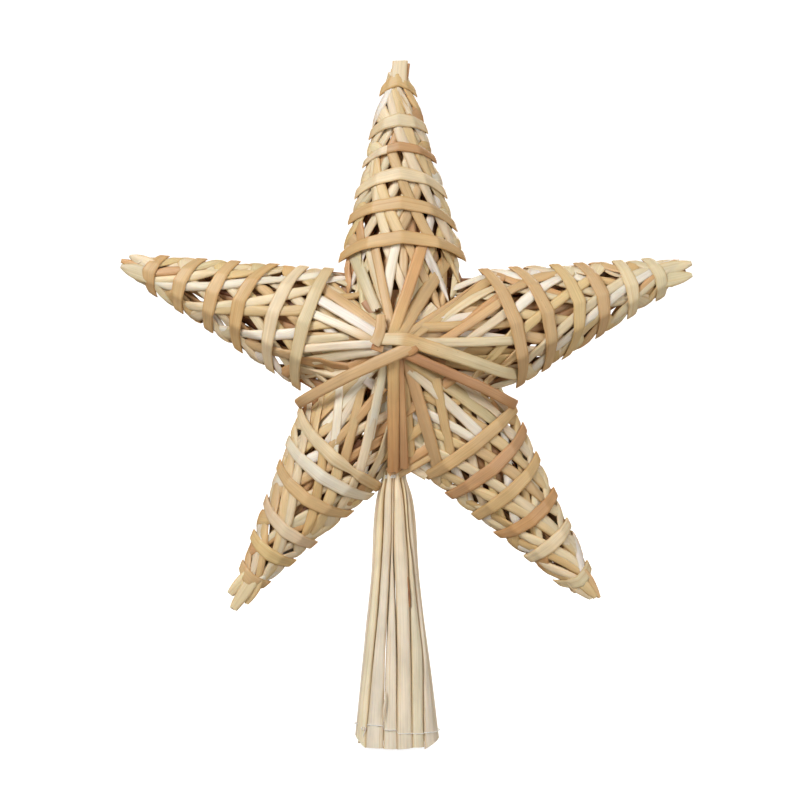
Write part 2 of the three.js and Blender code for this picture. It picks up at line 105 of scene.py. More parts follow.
def maths(tree: Tree, operation: str, *values: Any, clamp: bool = False) -> Socket:
    """Adds a math node.

    Args:
        tree: The tree that gets the node.
        operation: What the node works out.
        values: Its inputs in order, as numbers or output sockets.
        clamp: Whether the result is kept between 0 and 1.

    Returns:
        The result's socket.
    """
    inputs = dict(enumerate(values))
    return add_node(tree, "ShaderNodeMath", inputs, operation=operation, use_clamp=clamp).outputs[0]


def remap(tree: Tree, value: Socket, source: Pair, target: Pair) -> Socket:
    """Adds a node that maps one range onto another and keeps the result inside it.

    Args:
        tree: The tree that gets the node.
        value: The value to map.
        source: The range that the value comes from.
        target: The range that it goes to.

    Returns:
        The result's socket.
    """
    return add_node(tree, "ShaderNodeMapRange", {
        "Value": value, "From Min": source[0], "From Max": source[1],
        "To Min": target[0], "To Max": target[1]}).outputs[0]


def blank_material(name: str) -> bpy.types.Material:
    """Makes a material with an empty node tree.

    Args:
        name: The material's name.

    Returns:
        The material.
    """
    material = bpy.data.materials.new(name)
    material.use_nodes = True
    material.node_tree.nodes.clear()
    return material


# ---- finishes


class Tone(Enum):
    """The colours that dried straw takes, from bleached stem to sun-browned sheath. The darkest also serves
    as painted shade on the straws inside the arms.
    """

    WHITE = "E4D9C8"
    PALE = "DCC8A6"
    GREEN = "D0C09B"
    YELLOW = "D5BA89"
    TAN = "CAA979"
    ORANGE = "C59A6B"
    BROWN = "B3855A"
    DARK = "7E5233"
    CREAM = "DFD2BA"


class Slot(Enum):
    """The record's material slots."""

    TAN = "straw_tan"
    PALE = "straw_pale"
    BROWN = "straw_brown"
    CREAM = "straw_cream"
    THREAD = "white_thread"


@dataclass(frozen=True)
class StrawFinish:
    """Dried wheat straw, split and pressed flat: satin, with fibres along it and warmer veins."""

    name: str = "dried wheat straw, flattened"
    fibre_mm: Pair = (0.32, 26.0)
    fibre_span: Pair = (0.25, 0.75)
    fibre_shade: Pair = (0.84, 1.12)
    vein_mm: Pair = (1.3, 80.0)
    vein_span: Pair = (0.56, 0.74)
    blotch_mm: Pair = (9.0, 18.0)
    blotch_span: Pair = (0.3, 0.7)
    blotch_shade: Pair = (0.9, 1.08)
    details: Triple = (4.0, 2.0, 3.0)
    noise_roughness: float = 0.6
    warm: Triple = (0.82, 0.67, 0.48)
    vein_warmth: float = 0.55
    rim_span: Pair = (0.72, 1.0)
    edge_shade_and_browning: float = 0.85
    crease_shade_and_browning: float = 0.8
    speck_mm: Pair = (2.0, 6.25)
    speck_span: Pair = (0.04, 0.07)
    speck_strength: float = 0.5
    speck_rareness: float = 0.82
    speck_colour: str = "6B4A2E"
    roughness: Pair = (0.35, 0.61)
    glow: float = 0.15
    glow_mm: float = 1.6
    glow_spread: Triple = (1.0, 0.5, 0.22)
    ior: float = 1.5
    specular: float = 0.45
    sheen: Pair = (0.08, 0.4)
    bump: float = 0.55
    bump_mm: float = 0.1

    def build(self) -> bpy.types.Material:
        """Builds the material.

        Returns:
            The material, which reads each straw's tint, fold and edge from its mesh.
        """
        material = blank_material(self.name)
        tree = material.node_tree
        uv = add_node(tree, "ShaderNodeUVMap", uv_map="UVMap").outputs["UV"]
        tint = add_node(tree, "ShaderNodeAttribute", attribute_name="tint").outputs["Color"]
        fold = add_node(tree, "ShaderNodeAttribute", attribute_name="fold").outputs["Fac"]
        edge = add_node(tree, "ShaderNodeAttribute", attribute_name="across").outputs["Fac"]

        # Fibres are drawn several times coarser than the real 0.05 mm, so that they show at all.
        grains = []
        for (across, along), detail in zip((self.fibre_mm, self.vein_mm, self.blotch_mm), self.details):
            scaled = add_node(tree, "ShaderNodeMapping", {
                "Vector": uv, "Scale": (1 / across, 1 / along, 1.0)})
            grains.append(add_node(tree, "ShaderNodeTexNoise", {
                "Vector": scaled.outputs[0], "Scale": 1.0, "Detail": detail,
                "Roughness": self.noise_roughness}).outputs["Fac"])
        fibre, vein, blotch = grains

        # Light and dark fibres over the straw's own tint.
        lift = remap(tree, fibre, self.fibre_span, self.fibre_shade)
        drift = remap(tree, blotch, self.blotch_span, self.blotch_shade)
        grained = add_node(tree, "ShaderNodeVectorMath", {
            0: tint, "Scale": maths(tree, "MULTIPLY", lift, drift)}, operation="SCALE").outputs[0]

        # Veins go warm brown as the straw's own grain. Creases go warm brown as painted shade, and so do the
        # edges, partly as cut straw and partly as painted shade at the straw's sides. On the sheath remnant
        # the fold value browns it as its own colour.
        warm = add_node(tree, "ShaderNodeVectorMath", {0: grained, 1: self.warm}, operation="MULTIPLY")
        veined = remap(tree, vein, self.vein_span, (0.0, self.vein_warmth))
        edge_shaded_and_browned = remap(tree, maths(tree, "ABSOLUTE", edge), self.rim_span, (0.0, self.edge_shade_and_browning))
        shade_and_browning = maths(tree, "MAXIMUM", edge_shaded_and_browned, maths(tree, "MULTIPLY", fold, self.crease_shade_and_browning))
        colour = add_node(tree, "ShaderNodeMix", {
            "Factor": maths(tree, "MAXIMUM", shade_and_browning, veined), 6: grained, 7: warm.outputs[0]},
            data_type="RGBA")

        # Scattered dark specks, as sooty mould leaves on stored straw.
        spotted = add_node(tree, "ShaderNodeMapping", {
            "Vector": uv, "Scale": (1 / self.speck_mm[0], 1 / self.speck_mm[1], 1.0)})
        cells = add_node(tree, "ShaderNodeTexVoronoi", {"Vector": spotted.outputs[0], "Scale": 1.0})
        speck = remap(tree, cells.outputs["Distance"], self.speck_span, (self.speck_strength, 0.0))
        rare = add_node(tree, "ShaderNodeSeparateColor", {"Color": cells.outputs["Color"]})
        chosen = maths(tree, "GREATER_THAN", rare.outputs[0], self.speck_rareness)
        final = add_node(tree, "ShaderNodeMix", {
            "Factor": maths(tree, "MULTIPLY", speck, chosen),
            6: colour.outputs[2], 7: linear(self.speck_colour)}, data_type="RGBA")

        bump = add_node(tree, "ShaderNodeBump", {
            "Height": maths(tree, "ADD", fibre, vein), "Strength": self.bump,
            "Distance": self.bump_mm * MM})
        shader = add_node(tree, "ShaderNodeBsdfPrincipled", {
            "Base Color": final.outputs[2], "Roughness": remap(tree, fibre, (0.0, 1.0), self.roughness),
            "Normal": bump.outputs[0], "IOR": self.ior, "Specular IOR Level": self.specular,
            "Sheen Weight": self.sheen[0], "Sheen Roughness": self.sheen[1],
            "Subsurface Weight": self.glow, "Subsurface Radius": self.glow_spread,
            "Subsurface Scale": self.glow_mm * MM})
        add_node(tree, "ShaderNodeOutputMaterial", {"Surface": shader.outputs[0]})
        return material


@dataclass(frozen=True)
class ThreadFinish:
    """Cotton sewing thread, two strands twisted: matt white with a soft nap."""

    name: str = "cotton sewing thread, white"
    strand_mm: float = 0.25
    shade_colour: str = "CFCBC2"
    light_colour: str = "FBFAF6"
    roughness: Pair = (0.75, 0.95)
    detail: float = 3.0
    sheen: float = 0.3
    bump: float = 0.6
    bump_mm: float = 0.05

    def build(self) -> bpy.types.Material:
        """Builds the material.

        Returns:
            The material.
        """
        material = blank_material(self.name)
        tree = material.node_tree
        place = add_node(tree, "ShaderNodeTexCoord").outputs["Object"]
        nap = add_node(tree, "ShaderNodeTexNoise", {
            "Vector": place, "Scale": 1 / (self.strand_mm * MM), "Detail": self.detail}).outputs["Fac"]
        colour = add_node(tree, "ShaderNodeMix", {
            "Factor": nap, 6: linear(self.shade_colour), 7: linear(self.light_colour)}, data_type="RGBA")
        bump = add_node(tree, "ShaderNodeBump", {
            "Height": nap, "Strength": self.bump, "Distance": self.bump_mm * MM})
        shader = add_node(tree, "ShaderNodeBsdfPrincipled", {
            "Base Color": colour.outputs[2], "Roughness": remap(tree, nap, (0.0, 1.0), self.roughness),
            "Normal": bump.outputs[0], "Sheen Weight": self.sheen})
        add_node(tree, "ShaderNodeOutputMaterial", {"Surface": shader.outputs[0]})
        return material


# ---- straws


@dataclass
class StrawPath:
    """The middle line of one straw, with its half-width, outer side and state at each station."""

    tones: Sequence[Tone]
    seed: float
    places: list[Vector] = field(default_factory=list)
    sides: list[Vector] = field(default_factory=list)
    outs: list[Vector] = field(default_factory=list)
    thicks: list[float] = field(default_factory=list)
    folds: list[float] = field(default_factory=list)
    frays: list[float] = field(default_factory=list)

    BRIGHTNESS, BLUENESS, REDNESS = (0.93, 1.06), (0.92, 1.06), (0.99, 1.02)

    def add(self, place: Vector, side: Vector, out: Vector, thick: float,
            fold: float = 0.0, fray: float = 0.0) -> None:
        """Adds a station.

        Args:
            place: The middle of the straw.
            side: From the middle to the straw's edge.
            out: The direction that the straw's outer side faces.
            thick: The straw's thickness.
            fold: How sharply the straw is creased there, up to 1. The finish browns it by this, as painted
                shade in the crease, and on the sheath remnant as its own colour.
            fray: How far its torn fibres stand out along it.
        """
        self.places.append(place)
        self.sides.append(side)
        self.outs.append(out.normalized())
        self.thicks.append(thick)
        self.folds.append(fold)
        self.frays.append(fray)

    def tints(self) -> Iterator[Quad]:
        """Gives each station's colour: the straw's tones in turn, with a small shift of its own.

        Returns:
            One linear colour for each station.
        """
        shift = random.Random(self.seed)
        gain = [shift.uniform(*self.BRIGHTNESS)] * 3
        gain[2] *= shift.uniform(*self.BLUENESS)
        gain[0] *= shift.uniform(*self.REDNESS)
        colours = [linear(tone.value) for tone in self.tones]
        last = len(self.places) - 1
        for order in range(last + 1):
            reach = order / max(last, 1) * (len(colours) - 1)
            low = min(int(reach), len(colours) - 1)
            high = min(low + 1, len(colours) - 1)
            mix = [a + (b - a) * (reach - low) for a, b in zip(colours[low], colours[high])]
            yield (mix[0] * gain[0], mix[1] * gain[1], mix[2] * gain[2], 1.0)


@dataclass(frozen=True)
class StrawForm:
    """How a straw's section and surface are shaped along its path."""

    step: float = 1.25
    section_points: int = 18
    squareness: float = 4.0
    crown: float = 0.18
    groove: float = 0.09
    groove_width: float = 1.1
    wobble: float = 0.07
    softness: int = 1


class StrawMaker:
    """Lays flattened straws along paths with Geometry Nodes, and keeps them as plain meshes."""

    NUMBERS = ("Step", "Squareness", "Crown", "Groove", "Groove Width", "Wobble")
    COUNTS = ("Softness", "Section Points")
    SPARE = ("side", "out", "centre", "heading", "thick", "fray", "seed", "depth", "run")
    EVEN_SHARE = 0.6
    GROOVE_RUN = 28.0
    EDGE_RUN = 110.0
    TEAR_SPREAD = 7.0
    TEAR_SLICE = 0.5
    MAP_STRETCH = 173.0
    NOISE_SPAN = (0.25, 0.75)
    TEAR_SPAN = (0.3, 0.7)
    BOTH_WAYS = (-1.0, 1.0)
    SHARP_ANGLE = math.radians(55)

    def __init__(self) -> None:
        """Builds the tree once, for every straw of the star."""
        self.tree = bpy.data.node_groups.new("flattened straw along a path", "GeometryNodeTree")
        self.sockets: dict[str, str] = {}
        interface = self.tree.interface
        interface.new_socket("Geometry", in_out="INPUT", socket_type="NodeSocketGeometry")
        kinds = {name: "NodeSocketFloat" for name in self.NUMBERS}
        kinds |= {name: "NodeSocketInt" for name in self.COUNTS} | {"Finish": "NodeSocketMaterial"}
        for name, kind in kinds.items():
            socket = interface.new_socket(name, in_out="INPUT", socket_type=kind)
            self.sockets[name] = socket.identifier
        interface.new_socket("Geometry", in_out="OUTPUT", socket_type="NodeSocketGeometry")
        self._grow()

    def _named(self, name: str, kind: str = "FLOAT") -> Socket:
        """Reads a named attribute.

        Args:
            name: The attribute's name.
            kind: Its data type.

        Returns:
            The attribute's socket.
        """
        node = add_node(self.tree, "GeometryNodeInputNamedAttribute", {"Name": name}, data_type=kind)
        return node.outputs["Attribute"]

    def _store(self, geometry: Socket, name: str, kind: str,
               value: Socket, domain: str = "POINT") -> Socket:
        """Stores a field under a name.

        Args:
            geometry: The geometry that gets the attribute.
            name: The attribute's name.
            kind: Its data type.
            value: The field to store.
            domain: What carries the values.

        Returns:
            The geometry's socket.
        """
        node = add_node(self.tree, "GeometryNodeStoreNamedAttribute", {
            "Geometry": geometry, "Name": name, "Value": value}, data_type=kind, domain=domain)
        return node.outputs["Geometry"]

    def _noise(self, spot: Sequence[Any], detail: float, span: Pair) -> Socket:
        """Adds a noise that runs from -1 to 1.

        Args:
            spot: The three parts of the place in the noise, as numbers or sockets.
            detail: How many finer layers it has.
            span: The part of the noise's range that is used.

        Returns:
            The noise's socket.
        """
        place = add_node(self.tree, "ShaderNodeCombineXYZ", dict(enumerate(spot)))
        noise = add_node(self.tree, "ShaderNodeTexNoise", {
            "Vector": place.outputs[0], "Scale": 1.0, "Detail": detail})
        return remap(self.tree, noise.outputs["Fac"], span, self.BOTH_WAYS)

    def _section(self, points: Socket, squareness: Socket) -> Socket:
        """Builds the section: a rounded flat strip, as places across and in depth from -1 to 1.

        Args:
            points: How many points the section has.
            squareness: 2 for an oval tube, more for a flatter strip.

        Returns:
            The section's curve.
        """
        tree = self.tree
        circle = add_node(tree, "GeometryNodeCurvePrimitiveCircle", {"Resolution": points, "Radius": 1.0})
        split = add_node(tree, "ShaderNodeSeparateXYZ", {
            0: add_node(tree, "GeometryNodeInputPosition").outputs[0]})
        clamped = add_node(tree, "ShaderNodeClamp", {0: split.outputs[0], 1: -1.0, 2: 1.0}).outputs[0]
        even = maths(tree, "ARCSINE", clamped)
        spread = maths(tree, "MULTIPLY", even, 2 / math.pi * self.EVEN_SHARE)
        across = maths(tree, "MULTIPLY_ADD", clamped, 1 - self.EVEN_SHARE, spread)
        power = maths(tree, "POWER", maths(tree, "ABSOLUTE", across), squareness)
        rest = maths(tree, "SUBTRACT", 1.0, power, clamp=True)
        face = maths(tree, "SIGN", split.outputs[1])
        depth = maths(tree, "MULTIPLY", maths(tree, "SQRT", rest), face)
        named = self._store(circle.outputs["Curve"], "across", "FLOAT", across)
        return self._store(named, "depth", "FLOAT", depth)

    def _swept(self, given: Any) -> Socket:
        """Sweeps the section along evenly spaced stations of the straws' paths.

        Args:
            given: The tree's inputs.

        Returns:
            The swept geometry's socket.
        """
        tree = self.tree
        curve = add_node(tree, "GeometryNodeMeshToCurve", {"Mesh": given["Geometry"]})
        even = add_node(tree, "GeometryNodeResampleCurve", {
            "Curve": curve.outputs[0], "Length": given["Step"]}, mode="LENGTH")
        geometry = even.outputs[0]
        place = add_node(tree, "GeometryNodeInputPosition").outputs[0]
        for name, source in (
            ("centre", place),
            ("side", self._named("side", "FLOAT_VECTOR")),
            ("out", self._named("out", "FLOAT_VECTOR")),
        ):
            soft = add_node(tree, "GeometryNodeBlurAttribute", {
                "Value": source, "Iterations": given["Softness"]}, data_type="FLOAT_VECTOR")
            geometry = self._store(geometry, name, "FLOAT_VECTOR", soft.outputs[0])
        heading = add_node(tree, "GeometryNodeInputTangent").outputs[0]
        geometry = self._store(geometry, "heading", "FLOAT_VECTOR", heading)
        length = add_node(tree, "GeometryNodeSplineParameter").outputs["Length"]
        geometry = self._store(geometry, "run", "FLOAT", length)
        return add_node(tree, "GeometryNodeCurveToMesh", {
            "Curve": geometry, "Fill Caps": True,
            "Profile Curve": self._section(given["Section Points"], given["Squareness"])}).outputs[0]

    def _grow(self) -> None:
        """Builds the tree: swept section, placed surface, map, finish."""
        tree = self.tree
        given = add_node(tree, "NodeGroupInput").outputs
        swept = self._swept(given)
        across, depth, run, seed = (self._named(name) for name in ("across", "depth", "run", "seed"))
        side = self._named("side", "FLOAT_VECTOR")
        half = add_node(tree, "ShaderNodeVectorMath", {0: side}, operation="LENGTH").outputs["Value"]
        width_at = maths(tree, "MULTIPLY", half, across)

        # Lengthwise grooves, which stand at the same places across for most of a straw's length.
        groove = self._noise((
            maths(tree, "DIVIDE", width_at, given["Groove Width"]),
            maths(tree, "MULTIPLY", run, self.GROOVE_RUN), seed), 1.0, self.NOISE_SPAN)
        carved = maths(tree, "MULTIPLY", groove, given["Groove"])

        # The strip is crowned towards its outer side.
        arch = maths(tree, "SUBTRACT", 1.0, maths(tree, "MULTIPLY", across, across))
        crowned = maths(tree, "MULTIPLY_ADD", arch, given["Crown"], carved)
        half_thick = maths(tree, "MULTIPLY", self._named("thick"), 0.5)
        raised = maths(tree, "MULTIPLY_ADD", depth, half_thick, crowned)

        # Edges wander a little, each for itself.
        wander = self._noise(
            (across, maths(tree, "MULTIPLY", run, self.EDGE_RUN), seed), 2.0, self.NOISE_SPAN)
        wide = maths(tree, "MULTIPLY_ADD", wander, given["Wobble"], 1.0)
        reach = maths(tree, "MULTIPLY", wide, across)

        # Torn ends: fibres stand out by different lengths across the straw.
        tear = self._noise(
            (maths(tree, "MULTIPLY", across, self.TEAR_SPREAD), seed, self.TEAR_SLICE), 3.0, self.TEAR_SPAN)
        torn = maths(tree, "MULTIPLY", tear, self._named("fray"))

        spot = self._named("centre", "FLOAT_VECTOR")
        for vector, amount in (
            (side, reach),
            (self._named("out", "FLOAT_VECTOR"), raised),
            (self._named("heading", "FLOAT_VECTOR"), torn),
        ):
            part = add_node(tree, "ShaderNodeVectorMath", {0: vector, "Scale": amount}, operation="SCALE")
            whole = add_node(tree, "ShaderNodeVectorMath", {0: spot, 1: part.outputs[0]}, operation="ADD")
            spot = whole.outputs[0]
        placed = add_node(tree, "GeometryNodeSetPosition", {"Geometry": swept, "Position": spot})

        # The map runs in millimetres, across and along, and each straw has its own stretch of it.
        map_start = maths(tree, "MULTIPLY", seed, self.MAP_STRETCH)
        map_spot = add_node(tree, "ShaderNodeCombineXYZ", {
            0: maths(tree, "MULTIPLY", width_at, 1 / MM),
            1: maths(tree, "MULTIPLY_ADD", run, 1 / MM, map_start)})
        geometry = self._store(placed.outputs[0], "UVMap", "FLOAT2", map_spot.outputs[0], "CORNER")
        for name in self.SPARE:
            geometry = add_node(tree, "GeometryNodeRemoveAttribute", {
                "Geometry": geometry, "Name": name}).outputs[0]
        smooth = add_node(tree, "GeometryNodeSetShadeSmooth", {"Geometry": geometry, "Shade Smooth": True})
        real = add_node(tree, "GeometryNodeRealizeInstances", {"Geometry": smooth.outputs[0]})
        dressed = add_node(tree, "GeometryNodeSetMaterial", {
            "Geometry": real.outputs[0], "Material": given["Finish"]})
        add_node(tree, "NodeGroupOutput", {"Geometry": dressed.outputs[0]})

    @staticmethod
    def _lines(name: str, paths: Sequence[StrawPath]) -> bpy.types.Mesh:
        """Builds the mesh of edges that the tree reads, in metres, with an attribute for each value.

        Args:
            name: The mesh's name.
            paths: The straws' paths, in millimetres.

        Returns:
            The mesh of edges.
        """
        points = [place * MM for path in paths for place in path.places]
        links, start = [], 0
        for path in paths:
            links += [(start + at, start + at + 1) for at in range(len(path.places) - 1)]
            start += len(path.places)
        mesh = bpy.data.meshes.new(name)
        mesh.from_pydata(points, links, [])
        vectors = {"side": [s * MM for path in paths for s in path.sides],
                   "out": [out for path in paths for out in path.outs]}
        floats = {"thick": [t * MM for path in paths for t in path.thicks],
                  "fold": [f for path in paths for f in path.folds],
                  "fray": [f * MM for path in paths for f in path.frays],
                  "seed": [path.seed for path in paths for _ in path.places]}
        for key, values in vectors.items():
            attribute = mesh.attributes.new(key, "FLOAT_VECTOR", "POINT")
            attribute.data.foreach_set("vector", [part for value in values for part in value])
        for key, numbers in floats.items():
            attribute = mesh.attributes.new(key, "FLOAT", "POINT")
            attribute.data.foreach_set("value", numbers)
        tint = mesh.attributes.new("tint", "FLOAT_COLOR", "POINT")
        colours = [colour for path in paths for colour in path.tints()]
        tint.data.foreach_set("color", [part for colour in colours for part in colour])
        return mesh

    def make(self, name: str, paths: Sequence[StrawPath], finish: bpy.types.Material,
             form: StrawForm) -> bpy.types.Object:
        """Makes one piece from the straws along the paths.

        Args:
            name: The piece's name.
            paths: The straws' paths.
            finish: The material.
            form: The straws' section and surface.

        Returns:
            The piece, as a plain mesh at the origin.
        """
        piece = bpy.data.objects.new(name, self._lines(name, paths))
        bpy.context.scene.collection.objects.link(piece)
        modifier = piece.modifiers.new("straws", "NODES")
        modifier.node_group = self.tree
        values = {
            "Step": form.step * MM, "Squareness": form.squareness,
            "Crown": form.crown * MM, "Groove": form.groove * MM,
            "Groove Width": form.groove_width * MM, "Wobble": form.wobble,
            "Softness": form.softness, "Section Points": form.section_points, "Finish": finish,
        }
        for key, value in values.items():
            modifier[self.sockets[key]] = value
        graph = bpy.context.evaluated_depsgraph_get()
        mesh = bpy.data.meshes.new_from_object(piece.evaluated_get(graph))
        piece.modifiers.clear()
        piece.data = mesh
        shell = bmesh.new()
        shell.from_mesh(mesh)
        bmesh.ops.recalc_face_normals(shell, faces=shell.faces)
        shell.to_mesh(mesh)
        shell.free()
        mesh.set_sharp_from_angle(angle=self.SHARP_ANGLE)
        return piece


@dataclass
class Bench:
    """Where pieces are made: the straw maker, the finishes, and the count of straws laid."""

    maker: StrawMaker
    straw: bpy.types.Material
    thread: bpy.types.Material
    laid: int = 0

    def seed(self) -> float:
        """Gives the next straw its own number."""
        self.laid += 1
        return float(self.laid)

    def piece(self, name: str, paths: Sequence[StrawPath], slot: Slot, nodes: Sequence[str],
              form: StrawForm) -> None:
        """Makes a piece, rides it on the star, and lets it stand for its nodes.

        Args:
            name: The piece's name.
            paths: Its straws.
            slot: The record's slot that it takes its finish from.
            nodes: The nodes that it stands for.
            form: Its straws' section.
        """
        finish = self.thread if slot is Slot.THREAD else self.straw
        made = self.maker.make(name, paths, finish, form)
        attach(made, "root")
        if nodes:
            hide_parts(*nodes)
        LOG.info("%s: %d straws, %d faces", name, len(paths), len(made.data.polygons))


# ---- the arms


class Lens:
    """The arm's section: an eight-cornered lens, as shares of its half-width and half-depth."""

    RATIO = 0.62
    CORNERS = ((1.0, 0.0), (0.6, 0.8), (0.0, 1.0), (-0.6, 0.8),
               (-1.0, 0.0), (-0.6, -0.8), (0.0, -1.0), (0.6, -0.8))
    COUNT = len(CORNERS)
    SHOULDER, SHOULDER_DEPTH = CORNERS[1]
    SHOULDER_REST, SHOULDER_DROP = 0.4, 0.2
    NUDGE = 0.02

    @classmethod
    def at(cls, corner: float) -> Pair:
        """Gives the place across and in depth at a corner.

        Args:
            corner: The corner's number, which may lie between two corners.

        Returns:
            Shares of the half-width and the half-depth.
        """
        whole = math.floor(corner)
        a, b = cls.CORNERS[whole % cls.COUNT], cls.CORNERS[(whole + 1) % cls.COUNT]
        share = corner - whole
        return a[0] + (b[0] - a[0]) * share, a[1] + (b[1] - a[1]) * share

    @classmethod
    def along_face(cls, corner: float) -> Pair:
        """Gives the direction along the section, the mean of both faces at a corner."""
        before, after = cls.at(corner - cls.NUDGE), cls.at(corner + cls.NUDGE)
        return after[0] - before[0], after[1] - before[1]

    @classmethod
    def run(cls, corner: float) -> float:
        """Gives the running length round the section, for a half-width of one.

        Args:
            corner: The corner's number at which it ends.

        Returns:
            The length from corner 0.
        """
        whole = math.floor(corner)
        spans = [math.dist((a[0], a[1] * cls.RATIO), (b[0], b[1] * cls.RATIO))
                 for a, b in zip(cls.CORNERS, cls.CORNERS[1:] + cls.CORNERS[:1])]
        laps, rest = divmod(whole, cls.COUNT)
        return laps * sum(spans) + sum(spans[:rest]) + spans[rest] * (corner - whole)

    @classmethod
    def depth(cls, share: float) -> float:
        """Gives the depth at a place across.

        Args:
            share: The place, as a share of the half-width.

        Returns:
            The share of the half-depth.
        """
        reach = min(abs(share), 1.0)
        if reach <= cls.SHOULDER:
            return 1 - reach / cls.SHOULDER * cls.SHOULDER_DROP
        return cls.SHOULDER_DEPTH * (1 - reach) / cls.SHOULDER_REST


@dataclass(frozen=True)
class Band:
    """A straw bound round an arm: its place along it in the middle, at the left and at the right."""

    middle: float
    left: float
    right: float
    tones: tuple[Tone, ...]
    width: float = 5.4
    joint: float | None = None
    under: tuple[Tone, ...] = ()
    nip: float | None = None

    SLOPE, DROOP, DROOP_POWER = 0.4, 0.6, 6

    def along(self, share: float) -> float:
        """Gives the band's place along the arm.

        Args:
            share: The place across, as a share of the arm's half-width.

        Returns:
            The place along the arm.
        """
        edge = self.left if share < 0 else self.right
        bend = self.SLOPE * abs(share) + self.DROOP * abs(share) ** self.DROOP_POWER
        return self.middle + (edge - self.middle) * bend


@dataclass(frozen=True)
class Tab:
    """A straw end at an arm's tip: its places across, its end along the arm, and its widths."""

    foot: float
    end: float
    along: float
    widths: Triple
    tone: Tone
    layer: float = 0.0
    fray: float = 0.3

    def width(self, share: float) -> float:
        """Gives the width at a share of the length, drawn towards the middle width."""
        foot, belly, end = self.widths
        return foot * (1 - share) ** 2 + 2 * belly * share * (1 - share) + end * share ** 2


@dataclass(frozen=True)
class Arm:
    """One arm: a flattened pyramid of crossing straws under six bands.

    Its axis leaves the star's centre at an angle from +X, and lies beside that centre. Its half-width
    falls by the taper for each millimetre up to the apex. The phase turns the weave round the axis.
    """

    name: str
    angle: float
    beside: float
    taper: float
    apex: float
    phase: float
    tabs: tuple[Tab, ...]
    bands: tuple[Band, ...]
    outer_tones: tuple[Tone, ...]
    inner_tones: tuple[Tone, ...]

    OUTER_ANGLE = math.radians(24)
    INNER_ANGLE = math.radians(34)
    CROSS_COUNT = 11
    SHORT_CROSSES = (1, 4, 6, 9)
    CROSS_WIDTH = 4.7
    CROSS_SHARE = 0.6
    CROSS_THICK = 1.2
    CROSS_LAPS = 3
    ANGLE_PLAY = 0.1
    WIDTH_PLAY = (0.84, 1.08)
    SWELL_PLAY = (0.6, 1.3)
    START_PLAY = 0.018
    THINNEST = 0.05
    LAYER_STEP = 1.1
    EDGE_SWELL = 1.7
    EDGE_KEEP = 0.9
    EDGE_REACH = 0.3
    CREASE_REACH = 0.16
    BAND_PULL = 0.65
    PULL_REACH = 4.0
    SWELL_REACH = 0.42
    UNDER_COUNT = 15
    UNDER_ANGLE_PLAY = 0.08
    UNDER_START_PLAY = 0.25
    UNDER_WIDTH = 3.9
    UNDER_WIDTH_PLAY = (0.99, 1.01)
    UNDER_LAP = 1.0
    UNDER_THINNEST = 0.2
    UNDER_FEWEST = 4
    UNDER_BREAK = 1.5
    HUB_END = 13.0
    SECTOR = math.tan(math.radians(36))
    SECTOR_ROOM = 2.5
    LINING_COUNT = 7
    LINING_SHARE = 0.34
    LINING_DEPTH = 3.2
    LINING_STEP = 0.9
    LINING_LEAN = 0.12
    LINING_STATIONS = 12
    LINING_WIDEST = 4.4
    LINING_NARROWEST = 0.3
    LINING_THICK = 0.8
    LINING_DRAW = 7
    EDGE_SHARE = 0.94
    LINING_END = 98.0
    LINING_TUCK, LINING_LAP = 2.0, 4.0
    TIP_TRIM = 116.5
    TAB_TUCK = 2.5
    TAB_STEPS = 10
    TAB_LIFT = -0.1
    TAB_FORWARD = 0.7
    TAB_LAYER = 0.4
    TAB_ARCH = 0.5
    TAB_LEAN = 0.12
    FOLD_STEPS = 12
    FOLD_SPAN = 11.0
    FOLD_WIDTH = 4.0
    FOLD_TUCK = 1.5
    FOLD_LIFT = -0.05
    FOLD_SWELL = 0.75
    FOLD_FREE = 4.5
    FOLD_WRAP = (0.6, 1.3)
    FOLD_PLAY = (0.7, 1.25)
    FOLD_LEAN = 0.7
    FOLD_STEP = 0.15
    FOLD_DRAW = 3
    FOLD_EDGES = 4
    BAND_TONES, EDGE_TONES = 3, 5
    SHEET_DROP = 1.5
    SHEET_STEP = 1.1
    SHEET_FLOOR = 0.6
    HUB_LINING_DROP = 4.4
    BAND_THICK = 0.55
    BAND_SWELL = 0.55
    EDGE_PINCH = 0.2
    LAP_START, LAP_END = -2.55, 6.5
    LAP_LIFT, LAP_RUN = 0.6, 1.2
    JOINT_OVER, JOINT_UNDER, JOINT_DROP = 0.15, 0.2, 0.1
    NIP_DEPTH = 0.42
    NIP_REACH = 0.3
    FINE = 8
    WEAVE_FORM = StrawForm(step=1.3, section_points=16, squareness=2.8, crown=0.2, softness=0)
    BAND_FORM = StrawForm(step=0.9, section_points=20, squareness=6.0, crown=0.08, softness=0)

    @property
    def axis(self) -> Vector:
        """The direction from the star's centre to the tip."""
        turn = math.radians(self.angle)
        return Vector((math.cos(turn), 0.0, math.sin(turn)))

    @property
    def right(self) -> Vector:
        """The direction across the arm, to the right with its tip up."""
        turn = math.radians(self.angle)
        return Vector((math.sin(turn), 0.0, -math.cos(turn)))

    def half_width(self, along: float) -> float:
        """Gives the arm's half-width at a place along it."""
        return self.taper * (self.apex - along)

    def place(self, across: float, along: float, forward: float) -> Vector:
        """Gives the point at a place across, along and forward of the arm's middle plane."""
        return STAR_CENTRE + self.right * (across + self.beside) + self.axis * along + FRONT * forward

    def surface(self, corner: float, along: float, lift: float) -> Vector:
        """Gives a point on the pyramid.

        Args:
            corner: The section's corner number.
            along: The place along the arm.
            lift: How far off the pyramid the point lies.

        Returns:
            The point.
        """
        across, depth = Lens.at(corner)
        half = self.half_width(along) + lift / Lens.RATIO
        return self.place(across * half, along, depth * half * Lens.RATIO)

